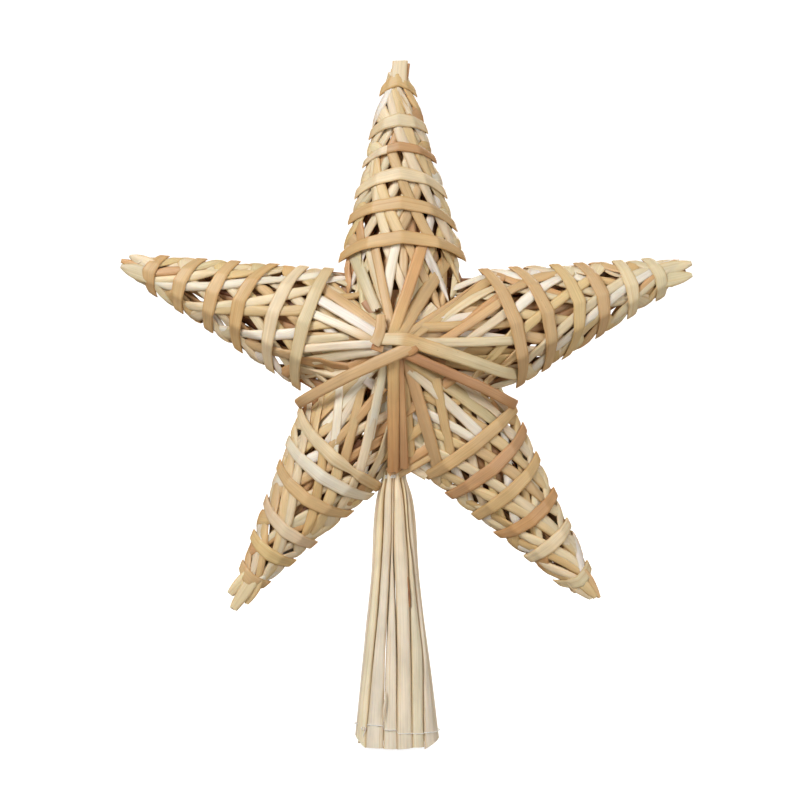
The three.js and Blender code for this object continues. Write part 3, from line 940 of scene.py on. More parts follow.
    def outward(self, corner: float) -> Vector:
        """Gives the direction out of the pyramid.

        Args:
            corner: The section's corner number.

        Returns:
            The direction, of any length.
        """
        across, depth = Lens.at(corner)
        run_across, run_depth = Lens.along_face(corner)
        face = self.right * run_across + FRONT * (run_depth * Lens.RATIO)
        radial = self.right * across + FRONT * (depth * Lens.RATIO)
        normal = face.cross(self.axis - radial * self.taper)
        return normal if normal.dot(radial) > 0 else -normal

    def on_face(self, across: float, along: float, lift: float, face: int) -> Vector:
        """Gives the point on the front or back of the pyramid at a place across."""
        half = self.half_width(along) + lift / Lens.RATIO
        return self.place(across, along, Lens.depth(across / half) * half * Lens.RATIO * face)

    def strip(self, path: StrawPath, marks: Sequence[Quad], thick: float,
              swell: float, keep: float = 0.0) -> StrawPath:
        """Lays a path on the pyramid.

        Args:
            path: The path to fill.
            marks: Corner number, low and high edge along the arm, and lift, one after another.
            thick: The straw's thickness.
            swell: How far the straw stands out where it folds over the arm's edge.
            keep: How much of a sunken straw's depth it makes up for at the edge, up to 1.

        Returns:
            The path.
        """
        quarter = Lens.COUNT // 4
        for corner, low, high, lift in marks:
            off_edge = abs((corner + quarter) % (2 * quarter) - quarter)
            # The crease browns the straw along the arm's edge, as painted shade in the fold.
            crease = math.exp(-(off_edge / self.CREASE_REACH) ** 2)
            bulge = (swell - keep * lift) * math.exp(-(off_edge / self.SWELL_REACH) ** 2)
            lower = self.surface(corner, low, lift + bulge)
            upper = self.surface(corner, high, lift + bulge)
            path.add((lower + upper) / 2, (upper - lower) / 2, self.outward(corner), thick, crease)
        return path

    def winding(self, bench: Bench, start: float, direction: int, lift: float, tones: tuple[Tone, ...],
                last: float = TIP_TRIM) -> StrawPath:
        """Winds one straw up the arm at a steady angle, from under the first band to the tip.

        Args:
            bench: Gives the straw its number.
            start: The turn at which it leaves the arm's base.
            direction: 1 to the right of the section, -1 to the left.
            lift: How far off the pyramid its outer side lies.
            tones: Its colours along it.
            last: Where along the arm it ends.

        Returns:
            The straw's path.
        """
        path = StrawPath(tones, bench.seed())
        own = random.Random(path.seed)
        angle = self.OUTER_ANGLE if direction > 0 else self.INNER_ANGLE
        angle += own.uniform(-self.ANGLE_PLAY, self.ANGLE_PLAY)
        width = self.CROSS_WIDTH * own.uniform(*self.WIDTH_PLAY)
        swell = self.EDGE_SWELL * own.uniform(*self.SWELL_PLAY)
        start += own.uniform(-self.START_PLAY, self.START_PLAY)
        girth = Lens.run(Lens.COUNT)
        turns_per_fold = math.tan(angle) / (girth * self.taper)
        base_half = self.half_width(BASE_ALONG)
        first = round(start * Lens.COUNT)
        marks = []
        for step in range(-Lens.COUNT * self.FINE, self.CROSS_LAPS * Lens.COUNT * self.FINE):
            corner = first + direction * step / self.FINE
            climb = direction * (Lens.run(corner) / girth - start) / turns_per_fold
            half = base_half * math.exp(-climb)
            along = self.apex - half / self.taper
            reach = min(width, self.CROSS_SHARE * half) / 2 / math.sin(angle)
            across = Lens.at(corner)[0]
            line = self.bands[0].along(across)
            low = min(max(along - reach, line), last)
            high = min(max(along + reach, line), last)
            off_band = min(abs(along - band.along(across)) for band in self.bands)
            free = 1 - self.BAND_PULL * math.exp(-(off_band / self.PULL_REACH) ** 2)
            puff = swell * free - self.EDGE_KEEP * self.CROSS_THICK / 2
            puff *= math.exp(-((1 - abs(across)) / self.EDGE_REACH) ** 2)
            if high - low > self.THINNEST:
                marks.append((corner, low, high, lift - self.CROSS_THICK / 2 + puff))
        return self.strip(path, marks, self.CROSS_THICK, 0.0, self.EDGE_KEEP)

    def sheet(self, across: float, along: float, drop: float, face: int) -> Vector:
        """Gives a point of the hub's under-layer, below both the arm's skin and the fan.

        Args:
            across: The place across the arm.
            along: The place along the arm.
            drop: How far below it lies.
            face: 1 in front, -1 behind.

        Returns:
            The point.
        """
        half, base_half = self.half_width(along), self.half_width(BASE_ALONG)
        skin = Lens.depth(across / half) * half * Lens.RATIO
        knot = Vector((KNOT[0], 0.0, KNOT[1]))
        knot_across, knot_along = knot.dot(self.right) - self.beside, knot.dot(self.axis)
        reach = (BASE_ALONG - knot_along) / max(along - knot_along, 1.0)
        outer = knot_across + (across - knot_across) * reach
        rim = Lens.depth(outer / base_half) * base_half * Lens.RATIO
        fan = KNOT_RISE[face] - (KNOT_RISE[face] - rim) / reach
        return self.place(across, along, max(self.SHEET_FLOOR, min(skin, fan) - drop) * face)

    def lining(self, bench: Bench, face: int, start: float, end: float, hub: bool) -> list[StrawPath]:
        """Lays the inner straws, in dark tones that paint the shade of the hollow inside, seen through the
        gaps of the weave.

        Args:
            bench: Gives the straws their numbers.
            face: 1 for the front half of the arm, -1 for the back half.
            start: Where along the arm they start.
            end: Where along the arm they end.
            hub: Whether they lie under the hub's fan, and not in the arm.

        Returns:
            The straws' paths.
        """
        paths = []
        for order in range(self.LINING_COUNT):
            place = (2 * order + 1) / self.LINING_COUNT - 1
            seed = bench.seed()
            own = random.Random(seed * self.LINING_DRAW)
            # Dark tones stand for the shade inside the hollow arm: painted shade.
            tone = own.choice((Tone.DARK, Tone.BROWN, Tone.BROWN, Tone.ORANGE))
            path = StrawPath((tone,), seed)
            lean = own.uniform(-self.LINING_LEAN, self.LINING_LEAN)
            layer = self.LINING_STEP * (order % 2)
            for step in range(self.LINING_STATIONS + 1):
                part = step / self.LINING_STATIONS
                along = start + (end - start) * part
                sunk = 0.0 if hub else (self.LINING_DEPTH + layer) / Lens.RATIO
                room = self.half_width(along) - sunk
                share = max(-self.EDGE_SHARE, min(self.EDGE_SHARE, place + lean * (2 * part - 1)))
                half = max(self.LINING_NARROWEST, min(self.LINING_WIDEST, self.LINING_SHARE * room) / 2)
                edges = []
                for edge in (-half, half):
                    across = max(-room, min(room, share * room + edge))
                    if hub:
                        edges.append(self.sheet(across, along, self.HUB_LINING_DROP + layer, face))
                    else:
                        edges.append(self.on_face(across, along, -self.LINING_DEPTH - layer, face))
                side = (edges[1] - edges[0]) / 2
                out = side.cross(self.axis)
                out = out if out.dot(FRONT * face) > 0 else -out
                path.add((edges[0] + edges[1]) / 2, side, out, self.LINING_THICK)
            paths.append(path)
        return paths

    def folds(self, bench: Bench) -> list[StrawPath]:
        """Lays the straws that fold over the arm's edges between two bands and scallop its outline.

        Args:
            bench: Gives the straws their numbers.

        Returns:
            The straws' paths.
        """
        paths = []
        for order, (lower, upper) in enumerate(zip(self.bands, self.bands[1:])):
            half = self.half_width((lower.middle + upper.middle) / 2)
            least, most = self.FOLD_WRAP
            wrap = min(most, max(least, self.FOLD_SPAN / half))
            for turn in range(self.FOLD_EDGES):
                edge, direction = Lens.COUNT // 2 * (turn // 2), 1 if turn % 2 else -1
                choice = self.BAND_TONES * order + self.EDGE_TONES * turn
                path = StrawPath((self.outer_tones[choice % len(self.outer_tones)],), bench.seed())
                own = random.Random(path.seed * self.FOLD_DRAW)
                shift = own.uniform(-1.0, 1.0) + self.FOLD_LEAN * direction
                peak = self.FOLD_SWELL * own.uniform(*self.FOLD_PLAY)
                run = 2 * Lens.run(wrap) * half
                marks = []
                for step in range(-self.FOLD_STEPS, self.FOLD_STEPS + 1):
                    share = (step / self.FOLD_STEPS + 1) / 2
                    corner = edge + direction * wrap * step / self.FOLD_STEPS
                    across = Lens.at(corner)[0]
                    low_line = lower.along(across) - self.FOLD_TUCK
                    high_line = upper.along(across) + self.FOLD_TUCK
                    climb = high_line - low_line
                    along = low_line + climb * share + shift * math.sin(math.pi * share)
                    reach = self.FOLD_WIDTH / 2 * math.hypot(run, climb) / run
                    off_band = min(along - low_line, high_line - along) - self.FOLD_TUCK
                    free = 1 - math.exp(-(max(off_band, 0.0) / self.FOLD_FREE) ** 3)
                    puff = free * peak * math.exp(-((1 - abs(across)) / self.EDGE_REACH) ** 2)
                    lift = self.FOLD_LIFT - self.FOLD_STEP * (turn % 2) + puff
                    low, high = max(along - reach, low_line), min(along + reach, high_line)
                    marks.append((corner, low, high, lift))
                paths.append(self.strip(path, marks, self.LINING_THICK, 0.0))
        return paths

    def weave(self, bench: Bench) -> list[StrawPath]:
        """Lays both crossing layers, the lining straws inside them and the gathered tip.

        Args:
            bench: Gives the straws their numbers.

        Returns:
            The straws' paths.
        """
        paths = []
        for count in range(self.CROSS_COUNT):
            share = count / self.CROSS_COUNT
            outer = self.outer_tones[count % len(self.outer_tones)]
            inner = self.inner_tones[count % len(self.inner_tones)]
            last = self.bands[3].middle if count in self.SHORT_CROSSES else self.TIP_TRIM
            start = share + self.phase
            paths.append(self.winding(bench, start, 1, 0.0, (outer,), last))
            start = share + 2 * self.phase
            paths.append(self.winding(bench, start, -1, -self.LAYER_STEP, (inner,), last))
        for face in (1, -1):
            paths += self.lining(bench, face, BASE_ALONG - self.LINING_TUCK, self.LINING_END, False)
        return paths + self.folds(bench) + self.tip_tabs(bench)

    def underlay(self, bench: Bench, face: int) -> list[StrawPath]:
        """Lays the straws that run on from the weave under the hub's fan.

        Args:
            bench: Gives the straws their numbers.
            face: 1 for the front half of the arm, -1 for the back half.

        Returns:
            The straws' paths.
        """
        girth, first = Lens.run(Lens.COUNT), 0 if face > 0 else Lens.COUNT // 2
        paths = []
        for count in range(2 * self.UNDER_COUNT):
            direction = 1 if count % 2 else -1
            tones = self.inner_tones if direction > 0 else self.outer_tones
            tone = tones[count // 2 % len(tones)]
            path = StrawPath((tone,), bench.seed())
            own = random.Random(path.seed)
            angle = self.OUTER_ANGLE + own.uniform(-self.UNDER_ANGLE_PLAY, self.UNDER_ANGLE_PLAY)
            shift = own.uniform(-self.UNDER_START_PLAY, self.UNDER_START_PLAY)
            start = (count // 2 + shift) / self.UNDER_COUNT + self.phase
            turns_per_fold = math.tan(angle) / (girth * self.taper)
            drop = self.SHEET_DROP + (0.0 if direction > 0 else self.SHEET_STEP)
            marks = []
            for step in range(-Lens.COUNT * self.FINE, Lens.COUNT * self.FINE + 1):
                corner = start * Lens.COUNT + direction * step / self.FINE
                if not 0 <= (corner - first) % Lens.COUNT <= Lens.COUNT // 2:
                    continue
                across = Lens.at(corner)[0]
                climb = direction * (Lens.run(corner) / girth - start) / turns_per_fold
                along = self.apex - self.half_width(BASE_ALONG) * math.exp(-climb) / self.taper
                reach = self.UNDER_WIDTH * own.uniform(*self.UNDER_WIDTH_PLAY) / 2 / math.sin(angle)
                line = self.bands[0].along(across) + self.UNDER_LAP
                inside = (abs(across) * self.half_width(along) - self.SECTOR_ROOM) / self.SECTOR
                floor = max(self.HUB_END, inside)
                low, high = (min(max(one, floor), line) for one in (along - reach, along + reach))
                if high - low > self.UNDER_THINNEST:
                    marks.append((corner, low, high, drop))
            for run in self.unbroken(marks):
                if len(run) > self.UNDER_FEWEST:
                    paths.append(self.under_strip(StrawPath(path.tones, bench.seed()), run, face))
        return paths + self.lining(bench, face, self.HUB_END, BASE_ALONG + self.LINING_LAP, True)

    def under_strip(self, path: StrawPath, marks: Sequence[Quad], face: int) -> StrawPath:
        """Lays a path on the hub's under-layer.

        Args:
            path: The path to fill.
            marks: Corner number, low and high edge along the arm, and drop, one after another.
            face: 1 in front, -1 behind.

        Returns:
            The path.
        """
        for corner, low, high, drop in marks:
            across = Lens.at(corner)[0]
            lower, upper = (self.sheet(across * self.half_width(one), one, drop, face) for one in (low, high))
            side = (upper - lower) / 2
            out = side.cross(self.right)
            path.add((lower + upper) / 2, side, out if out.dot(FRONT * face) > 0 else -out, self.CROSS_THICK)
        return path

    def unbroken(self, marks: Sequence[Quad]) -> list[list]:
        """Splits marks wherever they leave one side of the arm for the other.

        Args:
            marks: Marks of one straw, in order.

        Returns:
            The marks of each stretch.
        """
        runs: list[list] = []
        for mark in marks:
            if not runs or abs(mark[0] - runs[-1][-1][0]) > self.UNDER_BREAK / self.FINE:
                runs.append([])
            runs[-1].append(mark)
        return runs

    def tip_tabs(self, bench: Bench) -> list[StrawPath]:
        """Lays the straw ends that stand out at the tip, in front and behind.

        Args:
            bench: Gives the straws their numbers.

        Returns:
            The straws' paths.
        """
        base = self.bands[-1].middle - self.TAB_TUCK
        paths = []
        for face in (1, -1):
            for tab in self.tabs:
                path = StrawPath((tab.tone,), bench.seed())
                foot = self.on_face(tab.foot, base, self.TAB_LIFT, face)
                forward = self.TAB_FORWARD + self.TAB_LAYER * tab.layer
                end = self.place(tab.end, tab.along, face * forward)
                lean = FRONT * face + self.right * (self.TAB_LEAN * tab.end)
                for step in range(self.TAB_STEPS + 1):
                    share = step / self.TAB_STEPS
                    fray = tab.fray if step == self.TAB_STEPS else 0.0
                    arch = face * self.TAB_ARCH * tab.layer * math.sin(math.pi * share)
                    path.add(foot.lerp(end, share) + FRONT * arch, self.right * (tab.width(share) / 2),
                             lean, self.LINING_THICK, 0.0, fray)
                paths.append(path)
        return paths

    def binding(self, bench: Bench, band: Band) -> list[StrawPath]:
        """Lays one band round the arm, its ends lapped behind.

        Args:
            bench: Gives the straws their numbers.
            band: The band.

        Returns:
            The straws' paths: two where a fresh straw takes over in front.
        """
        spans = [(self.LAP_START, self.LAP_END, band.tones)]
        if band.joint is not None:
            spans = [(self.LAP_START, band.joint + self.JOINT_OVER, band.tones),
                     (band.joint - self.JOINT_UNDER, self.LAP_END, band.under)]
        paths = []
        for order, (start, end, tones) in enumerate(spans):
            path = StrawPath(tones, bench.seed())
            count = round((end - start) * self.FINE)
            marks = []
            for step in range(count + 1):
                corner = start + (end - start) * step / count
                share = Lens.at(corner)[0]
                middle = band.along(share)
                reach = band.width / 2 * (1 - self.EDGE_PINCH * share * share)
                if band.nip is not None:
                    reach *= 1 - self.NIP_DEPTH * math.exp(-((corner - band.nip) / self.NIP_REACH) ** 2)
                over = self.LAP_LIFT * max(0.0, 1 - (self.LAP_END - corner) / self.LAP_RUN)
                over -= self.JOINT_DROP if order else 0.0
                lift = FIT_GAP + self.BAND_THICK / 2 + over
                marks.append((corner, middle - reach, middle + reach, lift))
            paths.append(self.strip(path, marks, self.BAND_THICK, self.BAND_SWELL))
        return paths

    def build(self, bench: Bench) -> None:
        """Makes the arm's pieces: its weave and its six bands.

        Args:
            bench: Makes the pieces.
        """
        nodes = [f"arm_{self.name}_lattice"]
        bench.piece(f"{self.name}_arm_weave", self.weave(bench), Slot.TAN, nodes, self.WEAVE_FORM)
        for order, band in enumerate(self.bands, start=1):
            slot = {Tone.PALE: Slot.PALE, Tone.BROWN: Slot.BROWN}.get(band.tones[0], Slot.TAN)
            nodes = [f"arm_{self.name}_band_{order}"]
            bench.piece(f"{self.name}_arm_binding_{order}", self.binding(bench, band), slot, nodes,
                        self.BAND_FORM)


WHITE, PALE, GREEN, YELLOW, TAN, ORANGE, BROWN, DARK, CREAM = ((tone,) for tone in Tone)
MIXED = PALE + TAN + YELLOW + PALE + ORANGE + PALE + WHITE + TAN
PALE_MIX = PALE + YELLOW + WHITE + TAN + 2 * PALE + GREEN + ORANGE

ARMS = (
    Arm("top", 91.5, -1.6, 0.273, 128.2, 0.02, (
        Tab(0.0, 1.2, 121.0, (6.8, 6.0, 6.2), Tone.PALE, 0.6, 0.2),
        Tab(2.0, 4.4, 119.8, (3.4, 2.4, 1.6), Tone.BROWN, -0.4, 0.2),
        Tab(-1.6, -1.4, 117.8, (4.0, 3.4, 2.4), Tone.YELLOW)), (
        Band(48.5, 41.6, 40.4, TAN), Band(62.5, 57.0, 52.5, TAN), Band(74.5, 67.0, 66.0, PALE),
        Band(85.5, 79.0, 80.0, BROWN + ORANGE, 3.8, 2.5, PALE),
        Band(96.5, 91.0, 93.0, TAN + GREEN + TAN),
        Band(113.0, 108.4, 107.6, TAN)), MIXED, PALE_MIX),
    Arm("left", 161.4, 0.0, 0.26, 131.9, 0.1, (
        Tab(1.8, 3.4, 120.8, (5.0, 8.6, 1.0), Tone.PALE),
        Tab(-1.8, -1.6, 122.8, (5.0, 9.6, 1.4), Tone.GREEN, 0.4),
        Tab(0.2, 0.6, 123.4, (3.6, 6.0, 1.6), Tone.ORANGE, -0.8)), (
        Band(44.5, 39.4, 42.4, TAN + GREEN + TAN), Band(57.5, 51.5, 52.0, PALE), Band(72.0, 66.5, 63.5, TAN),
        Band(83.5, 80.5, 79.0, TAN), Band(97.5, 94.5, 92.0, TAN),
        Band(111.0, 106.5, 107.0, ORANGE + TAN + ORANGE)),
        PALE_MIX, MIXED),
    Arm("lower_left", 235.05, 1.4, 0.262, 126.9, 0.05, (
        Tab(1.2, 3.4, 119.8, (5.0, 7.4, 2.8), Tone.PALE, 0.0, 0.8),
        Tab(-0.6, -1.0, 123.8, (4.6, 7.0, 3.4), Tone.PALE, 0.7, 0.8),
        Tab(-2.2, -3.9, 119.0, (4.6, 7.0, 2.2), Tone.YELLOW, 0.0, 0.6)), (
        Band(50.0, 49.8, 41.4, 3 * PALE + 2 * TAN, nip=2.67),
        Band(59.0, 54.6, 55.0, PALE + WHITE + PALE), Band(70.0, 65.0, 65.0, TAN),
        Band(85.5, 84.0, 79.5, ORANGE + PALE + ORANGE), Band(97.0, 95.0, 94.5, TAN + YELLOW + TAN),
        Band(110.0, 108.0, 107.0, TAN)),
        MIXED, PALE_MIX),
    Arm("lower_right", 308.2, 1.3, 0.235, 134.1, 0.13, (
        Tab(2.2, 0.8, 122.2, (5.4, 6.4, 1.4), Tone.PALE),
        Tab(-2.4, -2.2, 123.8, (5.4, 6.6, 1.2), Tone.TAN),
        Tab(0.0, -1.0, 122.8, (4.6, 4.8, 2.2), Tone.YELLOW, 0.8)), (
        Band(43.5, 42.0, 41.2, TAN), Band(55.5, 50.5, 53.5, ORANGE), Band(67.5, 63.0, 67.0, TAN),
        Band(81.5, 79.0, 78.0, ORANGE), Band(94.5, 92.0, 93.5, PALE),
        Band(113.5, 110.5, 108.0, TAN + GREEN + TAN)),
        MIXED, PALE_MIX),
    Arm("right", 17.8, -0.7, 0.255, 131.2, 0.08, (
        Tab(-2.4, -1.3, 121.0, (4.6, 8.0, 1.8), Tone.GREEN),
        Tab(1.6, 3.2, 119.6, (4.6, 9.0, 1.8), Tone.GREEN, 0.2),
        Tab(0.0, 1.0, 117.6, (3.0, 3.2, 2.2), Tone.DARK, -1.2)), (
        Band(45.0, 39.6, 39.4, TAN), Band(58.5, 51.5, 51.0, TAN), Band(72.0, 67.5, 60.0, TAN + YELLOW + TAN),
        Band(82.0, 77.0, 76.0, TAN), Band(94.5, 92.5, 91.0, PALE),
        Band(107.0, 104.0, 104.5, PALE + GREEN + PALE)),
        PALE_MIX, MIXED),
)


# ---- the hub


@dataclass(frozen=True)
class Fan:
    """A straw from an arm's first band to the knot: its ends across and up from the star's centre."""

    arm: str
    outer: Pair
    inner: Pair
    width: float
    tones: tuple[Tone, ...]
    layer: float = 0.0
    fray: float = 0.0
    sink: float = 0.0


@dataclass(frozen=True)
class Hub:
    """The straws that fan over the star's middle, the knot that gathers them, and the neck straps."""

    tuck: float = 1.0
    edge: float = 0.97
    thick: float = 0.8
    layer_step: float = 0.5
    rise: float = 0.35
    bow: float = 0.5
    sway: float = 0.35
    spacing: float = 2.0
    fewest: int = 6
    wrap_thick: float = 0.7
    folded_thick: float = 0.6
    tucked_thick: float = 0.5
    strap_thick: float = 0.6
    strap_fray: float = 0.8
    web_thick: float = 1.0
    core_count: int = 11
    core_turn: float = 0.2
    core_reach: float = 22.0
    core_depth: float = 2.4
    core_step: float = 0.25
    core_fall: float = 0.3
    core_half: float = 2.2
    core_steps: int = 4
    wrap_foot: float = 20.8
    strap_steps: int = 8
    strap_top: Pair = (2.4, 23.4)
    strap_fall: float = 17.8
    strap_bow: float = 0.8
    web_steps: int = 6
    web_forward: float = 1.6
    web_layer: float = 1.1
    web_slope: float = 0.38
    web_foot: float = -47.0
    web_width: float = 4.2
    webs: tuple[tuple[Pair, Pair], ...] = (
        ((-12.0, -36.0), (8.0, -47.6)), ((12.0, -37.0), (-7.0, -47.8)), ((-15.0, -30.0), (11.0, -46.0)),
        ((17.0, -30.0), (-9.0, -46.5)), ((-20.0, -18.0), (16.0, -42.0)), ((20.0, -16.0), (-14.0, -42.0)),
        ((-18.0, -8.0), (18.0, -33.0)), ((20.0, -6.0), (-16.0, -32.0)), ((2.0, -6.0), (5.0, -42.0)),
        ((-2.0, -4.0), (0.5, -40.0)), ((-9.5, -4.0), (-11.5, -40.0)), ((-4.0, -4.0), (-5.5, -44.0)))

    FORM = StrawForm(step=1.4, section_points=20, squareness=3.4, crown=0.2, groove=0.12)

    @staticmethod
    def point(across: float, up: float, forward: float) -> Vector:
        """Gives a point by its place across and up from the star's centre, and forward."""
        return STAR_CENTRE + Vector((across, -forward, up))

    def fan(self, bench: Bench, fan: Fan, face: int = 1) -> StrawPath:
        """Lays one straw from under an arm's band to its end near the knot.

        Args:
            bench: Gives the straw its number.
            fan: Its ends, width, colours and layer.
            face: 1 in front, -1 behind.

        Returns:
            The straw's path.
        """
        arm = next(one for one in ARMS if one.name == fan.arm)
        path = StrawPath(fan.tones, bench.seed())
        own = random.Random(path.seed)
        start = Vector((fan.outer[0], 0.0, fan.outer[1]))
        across = start.dot(arm.right) - arm.beside
        ends = []
        for offset in (-fan.width / 2, fan.width / 2):
            share = (across + offset) / arm.half_width(BASE_ALONG)
            share = max(-self.edge, min(self.edge, share))
            along = arm.bands[0].along(share) + self.tuck
            ends.append(arm.on_face(share * arm.half_width(along), along, -self.tuck - fan.sink, face))
        outer, side_outer = (ends[0] + ends[1]) / 2, (ends[1] - ends[0]) / 2
        gap = math.dist(fan.inner, KNOT) / math.dist(fan.outer, KNOT)
        low = abs((outer - STAR_CENTRE).y)
        forward = (KNOT_RISE[face] - (KNOT_RISE[face] - low) * gap - fan.sink) * face
        inner = self.point(*fan.inner, forward)
        heading = (inner - outer).normalized()
        side_inner = Vector((-heading.z, 0.0, heading.x)).normalized() * (fan.width / 2)
        if side_inner.dot(side_outer) < 0:
            side_inner = -side_inner
        out_outer = heading.cross(side_outer)
        out_outer = out_outer if out_outer.dot(FRONT * face) > 0 else -out_outer
        bow, sway = own.uniform(-self.bow, self.bow), own.uniform(-self.sway, self.sway)
        count = max(self.fewest, round((inner - outer).length / self.spacing))
        for step in range(count + 1):
            share = step / count
            ease = min(1.0, share / self.rise)
            raised = self.layer_step * fan.layer * ease * ease * (3 - 2 * ease)
            raised += sway * math.sin(2 * math.pi * share)
            middle = outer.lerp(inner, share) + FRONT * (face * raised)
            side = side_outer.lerp(side_inner, share)
            middle += side.normalized() * (bow * math.sin(math.pi * share))
            out = out_outer.normalized().lerp(FRONT * face, share)
            fray = fan.fray if step == count else 0.0
            path.add(middle, side, out, self.thick, 0.0, fray)
        return path

    def ribbon(self, bench: Bench, tones: tuple[Tone, ...], stations: Sequence[tuple[float, ...]],
               thick: float, fray: float = 0.0) -> StrawPath:
        """Lays a straw through places of the hub.

        Args:
            bench: Gives the straw its number.
            tones: Its colours along it.
            stations: Place across, up and forward, width, and crease, one after another.
            thick: Its thickness.
            fray: How torn its last end is.

        Returns:
            The straw's path.
        """
        path = StrawPath(tones, bench.seed())
        points = [self.point(*station[:3]) for station in stations]
        for order, (point, station) in enumerate(zip(points, stations)):
            before, after = points[max(order - 1, 0)], points[min(order + 1, len(points) - 1)]
            heading = after - before
            side = Vector((-heading.z, 0.0, heading.x)).normalized() * (station[3] / 2)
            out = side.cross(heading)
            out = out if out.dot(FRONT) * (station[2] or 1.0) > 0 else -out
            # A crease browns the straw at this station, as painted shade in the fold.
            crease = station[4] if len(station) > 4 else 0.0
            path.add(point, side, out, thick, crease, fray if order == len(points) - 1 else 0.0)
        return path

    def knot_wrap(self, bench: Bench) -> list[StrawPath]:
        """Lays the pale straw over the knot and the straw that is folded beside it.

        Args:
            bench: Gives the straws their numbers.

        Returns:
            The straws' paths.
        """
        right = next(one for one in ARMS if one.name == "right")
        along = right.bands[0].along(self.wrap_foot / right.half_width(BASE_ALONG))
        meet = right.on_face(self.wrap_foot, along, -self.thick, 1) - STAR_CENTRE
        over = self.ribbon(bench, 2 * PALE + TAN + 2 * GREEN, [
            (-12.8, 7.3, 23.4, 4.6), (-10.8, 7.4, 24.7, 4.8), (-4.0, 7.3, 25.3, 5.0),
            (-2.2, 7.2, 25.4, 5.2, 0.7), (-0.4, 6.9, 25.3, 5.3), (11.5, 3.0, 22.9, 5.4),
            (28.0, -2.3, 17.2, 4.9), (38.0, -5.6, 10.6, 4.7), (meet.x, meet.z, -meet.y, 4.6)],
            self.wrap_thick)
        folded = self.ribbon(bench, 2 * TAN + PALE, [
            (-11.2, 17.6, 23.2, 3.4), (-11.2, 13.0, 24.7, 4.2), (-11.6, 9.4, 25.4, 4.5),
            (-12.9, 6.6, 25.3, 4.5), (-14.2, 4.7, 24.7, 4.2, 1.0)], self.folded_thick)
        tucked = self.ribbon(bench, BROWN + ORANGE, [
            (-15.6, 4.6, 23.3, 2.2, 1.0), (-12.6, 3.9, 23.7, 2.8), (-9.6, 3.2, 23.5, 3.0)], self.tucked_thick)
        corner = self.ribbon(bench, BROWN + ORANGE, [
            (3.6, 4.6, 24.6, 2.6, 1.0), (1.2, 2.6, 25.2, 3.6), (-1.4, 1.6, 25.0, 3.2, 0.5)],
            self.tucked_thick)
        return [over, folded, tucked, corner]

    def web(self, bench: Bench, face: int) -> list[StrawPath]:
        """Lays the straws that cross from one lower arm to the other above the skirt.

        Args:
            bench: Gives the straws their numbers.
            face: 1 in front, -1 behind.

        Returns:
            The straws' paths.
        """
        paths = []
        for order, (start, end) in enumerate(self.webs):
            tones = (PALE, TAN, WHITE, ORANGE)[order % 4]
            stations = []
            for step in range(self.web_steps + 1):
                across, up = (a + (b - a) * step / self.web_steps for a, b in zip(start, end))
                forward = self.web_forward + self.web_layer * (order % 2)
                forward += self.web_slope * max(0.0, up - self.web_foot)
                stations.append((across, up, forward * face, self.web_width))
            paths.append(self.ribbon(bench, tones, stations, self.web_thick))
        return paths

    def core(self, bench: Bench, face: int) -> list[StrawPath]:
        """Lays the crossing straw ends that fill the knot under the fan.

        Args:
            bench: Gives the straws their numbers.
            face: 1 in front, -1 behind.

        Returns:
            The straws' paths.
        """
        paths = []
        for count in range(self.core_count):
            turn = math.pi * count / self.core_count + self.core_turn
            path = StrawPath((TAN, ORANGE, PALE, BROWN)[count % 4], bench.seed())
            forward = KNOT_RISE[face] - self.core_depth - self.core_step * count
            across, up = math.cos(turn), math.sin(turn)
            for step in range(-self.core_steps, self.core_steps + 1):
                reach = self.core_reach * step / self.core_steps
                fall = forward - self.core_fall * abs(reach)
                middle = self.point(KNOT[0] + across * reach, KNOT[1] + up * reach, fall * face)
                path.add(middle, Vector((-up, 0.0, across)) * self.core_half, FRONT * face, self.thick)
            paths.append(path)
        return paths

    def sling(self, bench: Bench) -> list[StrawPath]:
        """Lays the two straws that close the corners between the side arms and the lower arms.

        Args:
            bench: Gives the straws their numbers.

        Returns:
            The straws' paths.
        """
        left = self.ribbon(bench, TAN, [
            (1.4, 4.3, 24.8, 4.8), (-3.0, 2.3, 25.2, 5.2), (-13.0, -2.1, 23.9, 5.0),
            (-23.4, -6.8, 20.3, 4.8), (-34.0, -12.2, 14.6, 4.6), (-41.0, -15.9, 8.6, 4.5),
            (-44.6, -18.0, 3.4, 4.4, 0.8), (-45.3, -18.5, 1.2, 4.2, 1.0)], self.thick)
        right = self.ribbon(bench, 2 * BROWN + 2 * ORANGE, [
            (-2.4, 2.2, 24.2, 4.0), (4.0, -0.9, 23.9, 4.1), (16.0, -6.0, 21.0, 4.2),
            (28.0, -11.2, 16.2, 4.2), (37.0, -15.6, 10.6, 4.2), (41.6, -17.9, 5.6, 4.2, 0.6),
            (43.4, -18.8, 1.2, 4.2, 1.0)], self.thick)
        return [left, right]

    def strap(self, bench: Bench, tones: tuple[Tone, ...], top: Pair,
              foot: Pair, end: float, layer: float) -> StrawPath:
        """Lays one of the straws from the knot down to the skirt's neck.

        Args:
            bench: Gives the straw its number.
            tones: Its colours from the knot down.
            top: Place across and width at the knot.
            foot: Place across and width at the neck.
            end: The place up of its lower end.
            layer: How far forward it lies.

        Returns:
            The straw's path.
        """
        stations = []
        start, near = self.strap_top
        for step in range(self.strap_steps + 1):
            share = step / self.strap_steps
            across, width = (a + (b - a) * share for a, b in zip(top, foot))
            forward = near - self.strap_fall * share + self.strap_bow * math.sin(math.pi * share) + layer
            stations.append((across, start + (end - start) * share, forward, width))
        return self.ribbon(bench, tones, stations, self.strap_thick, self.strap_fray)

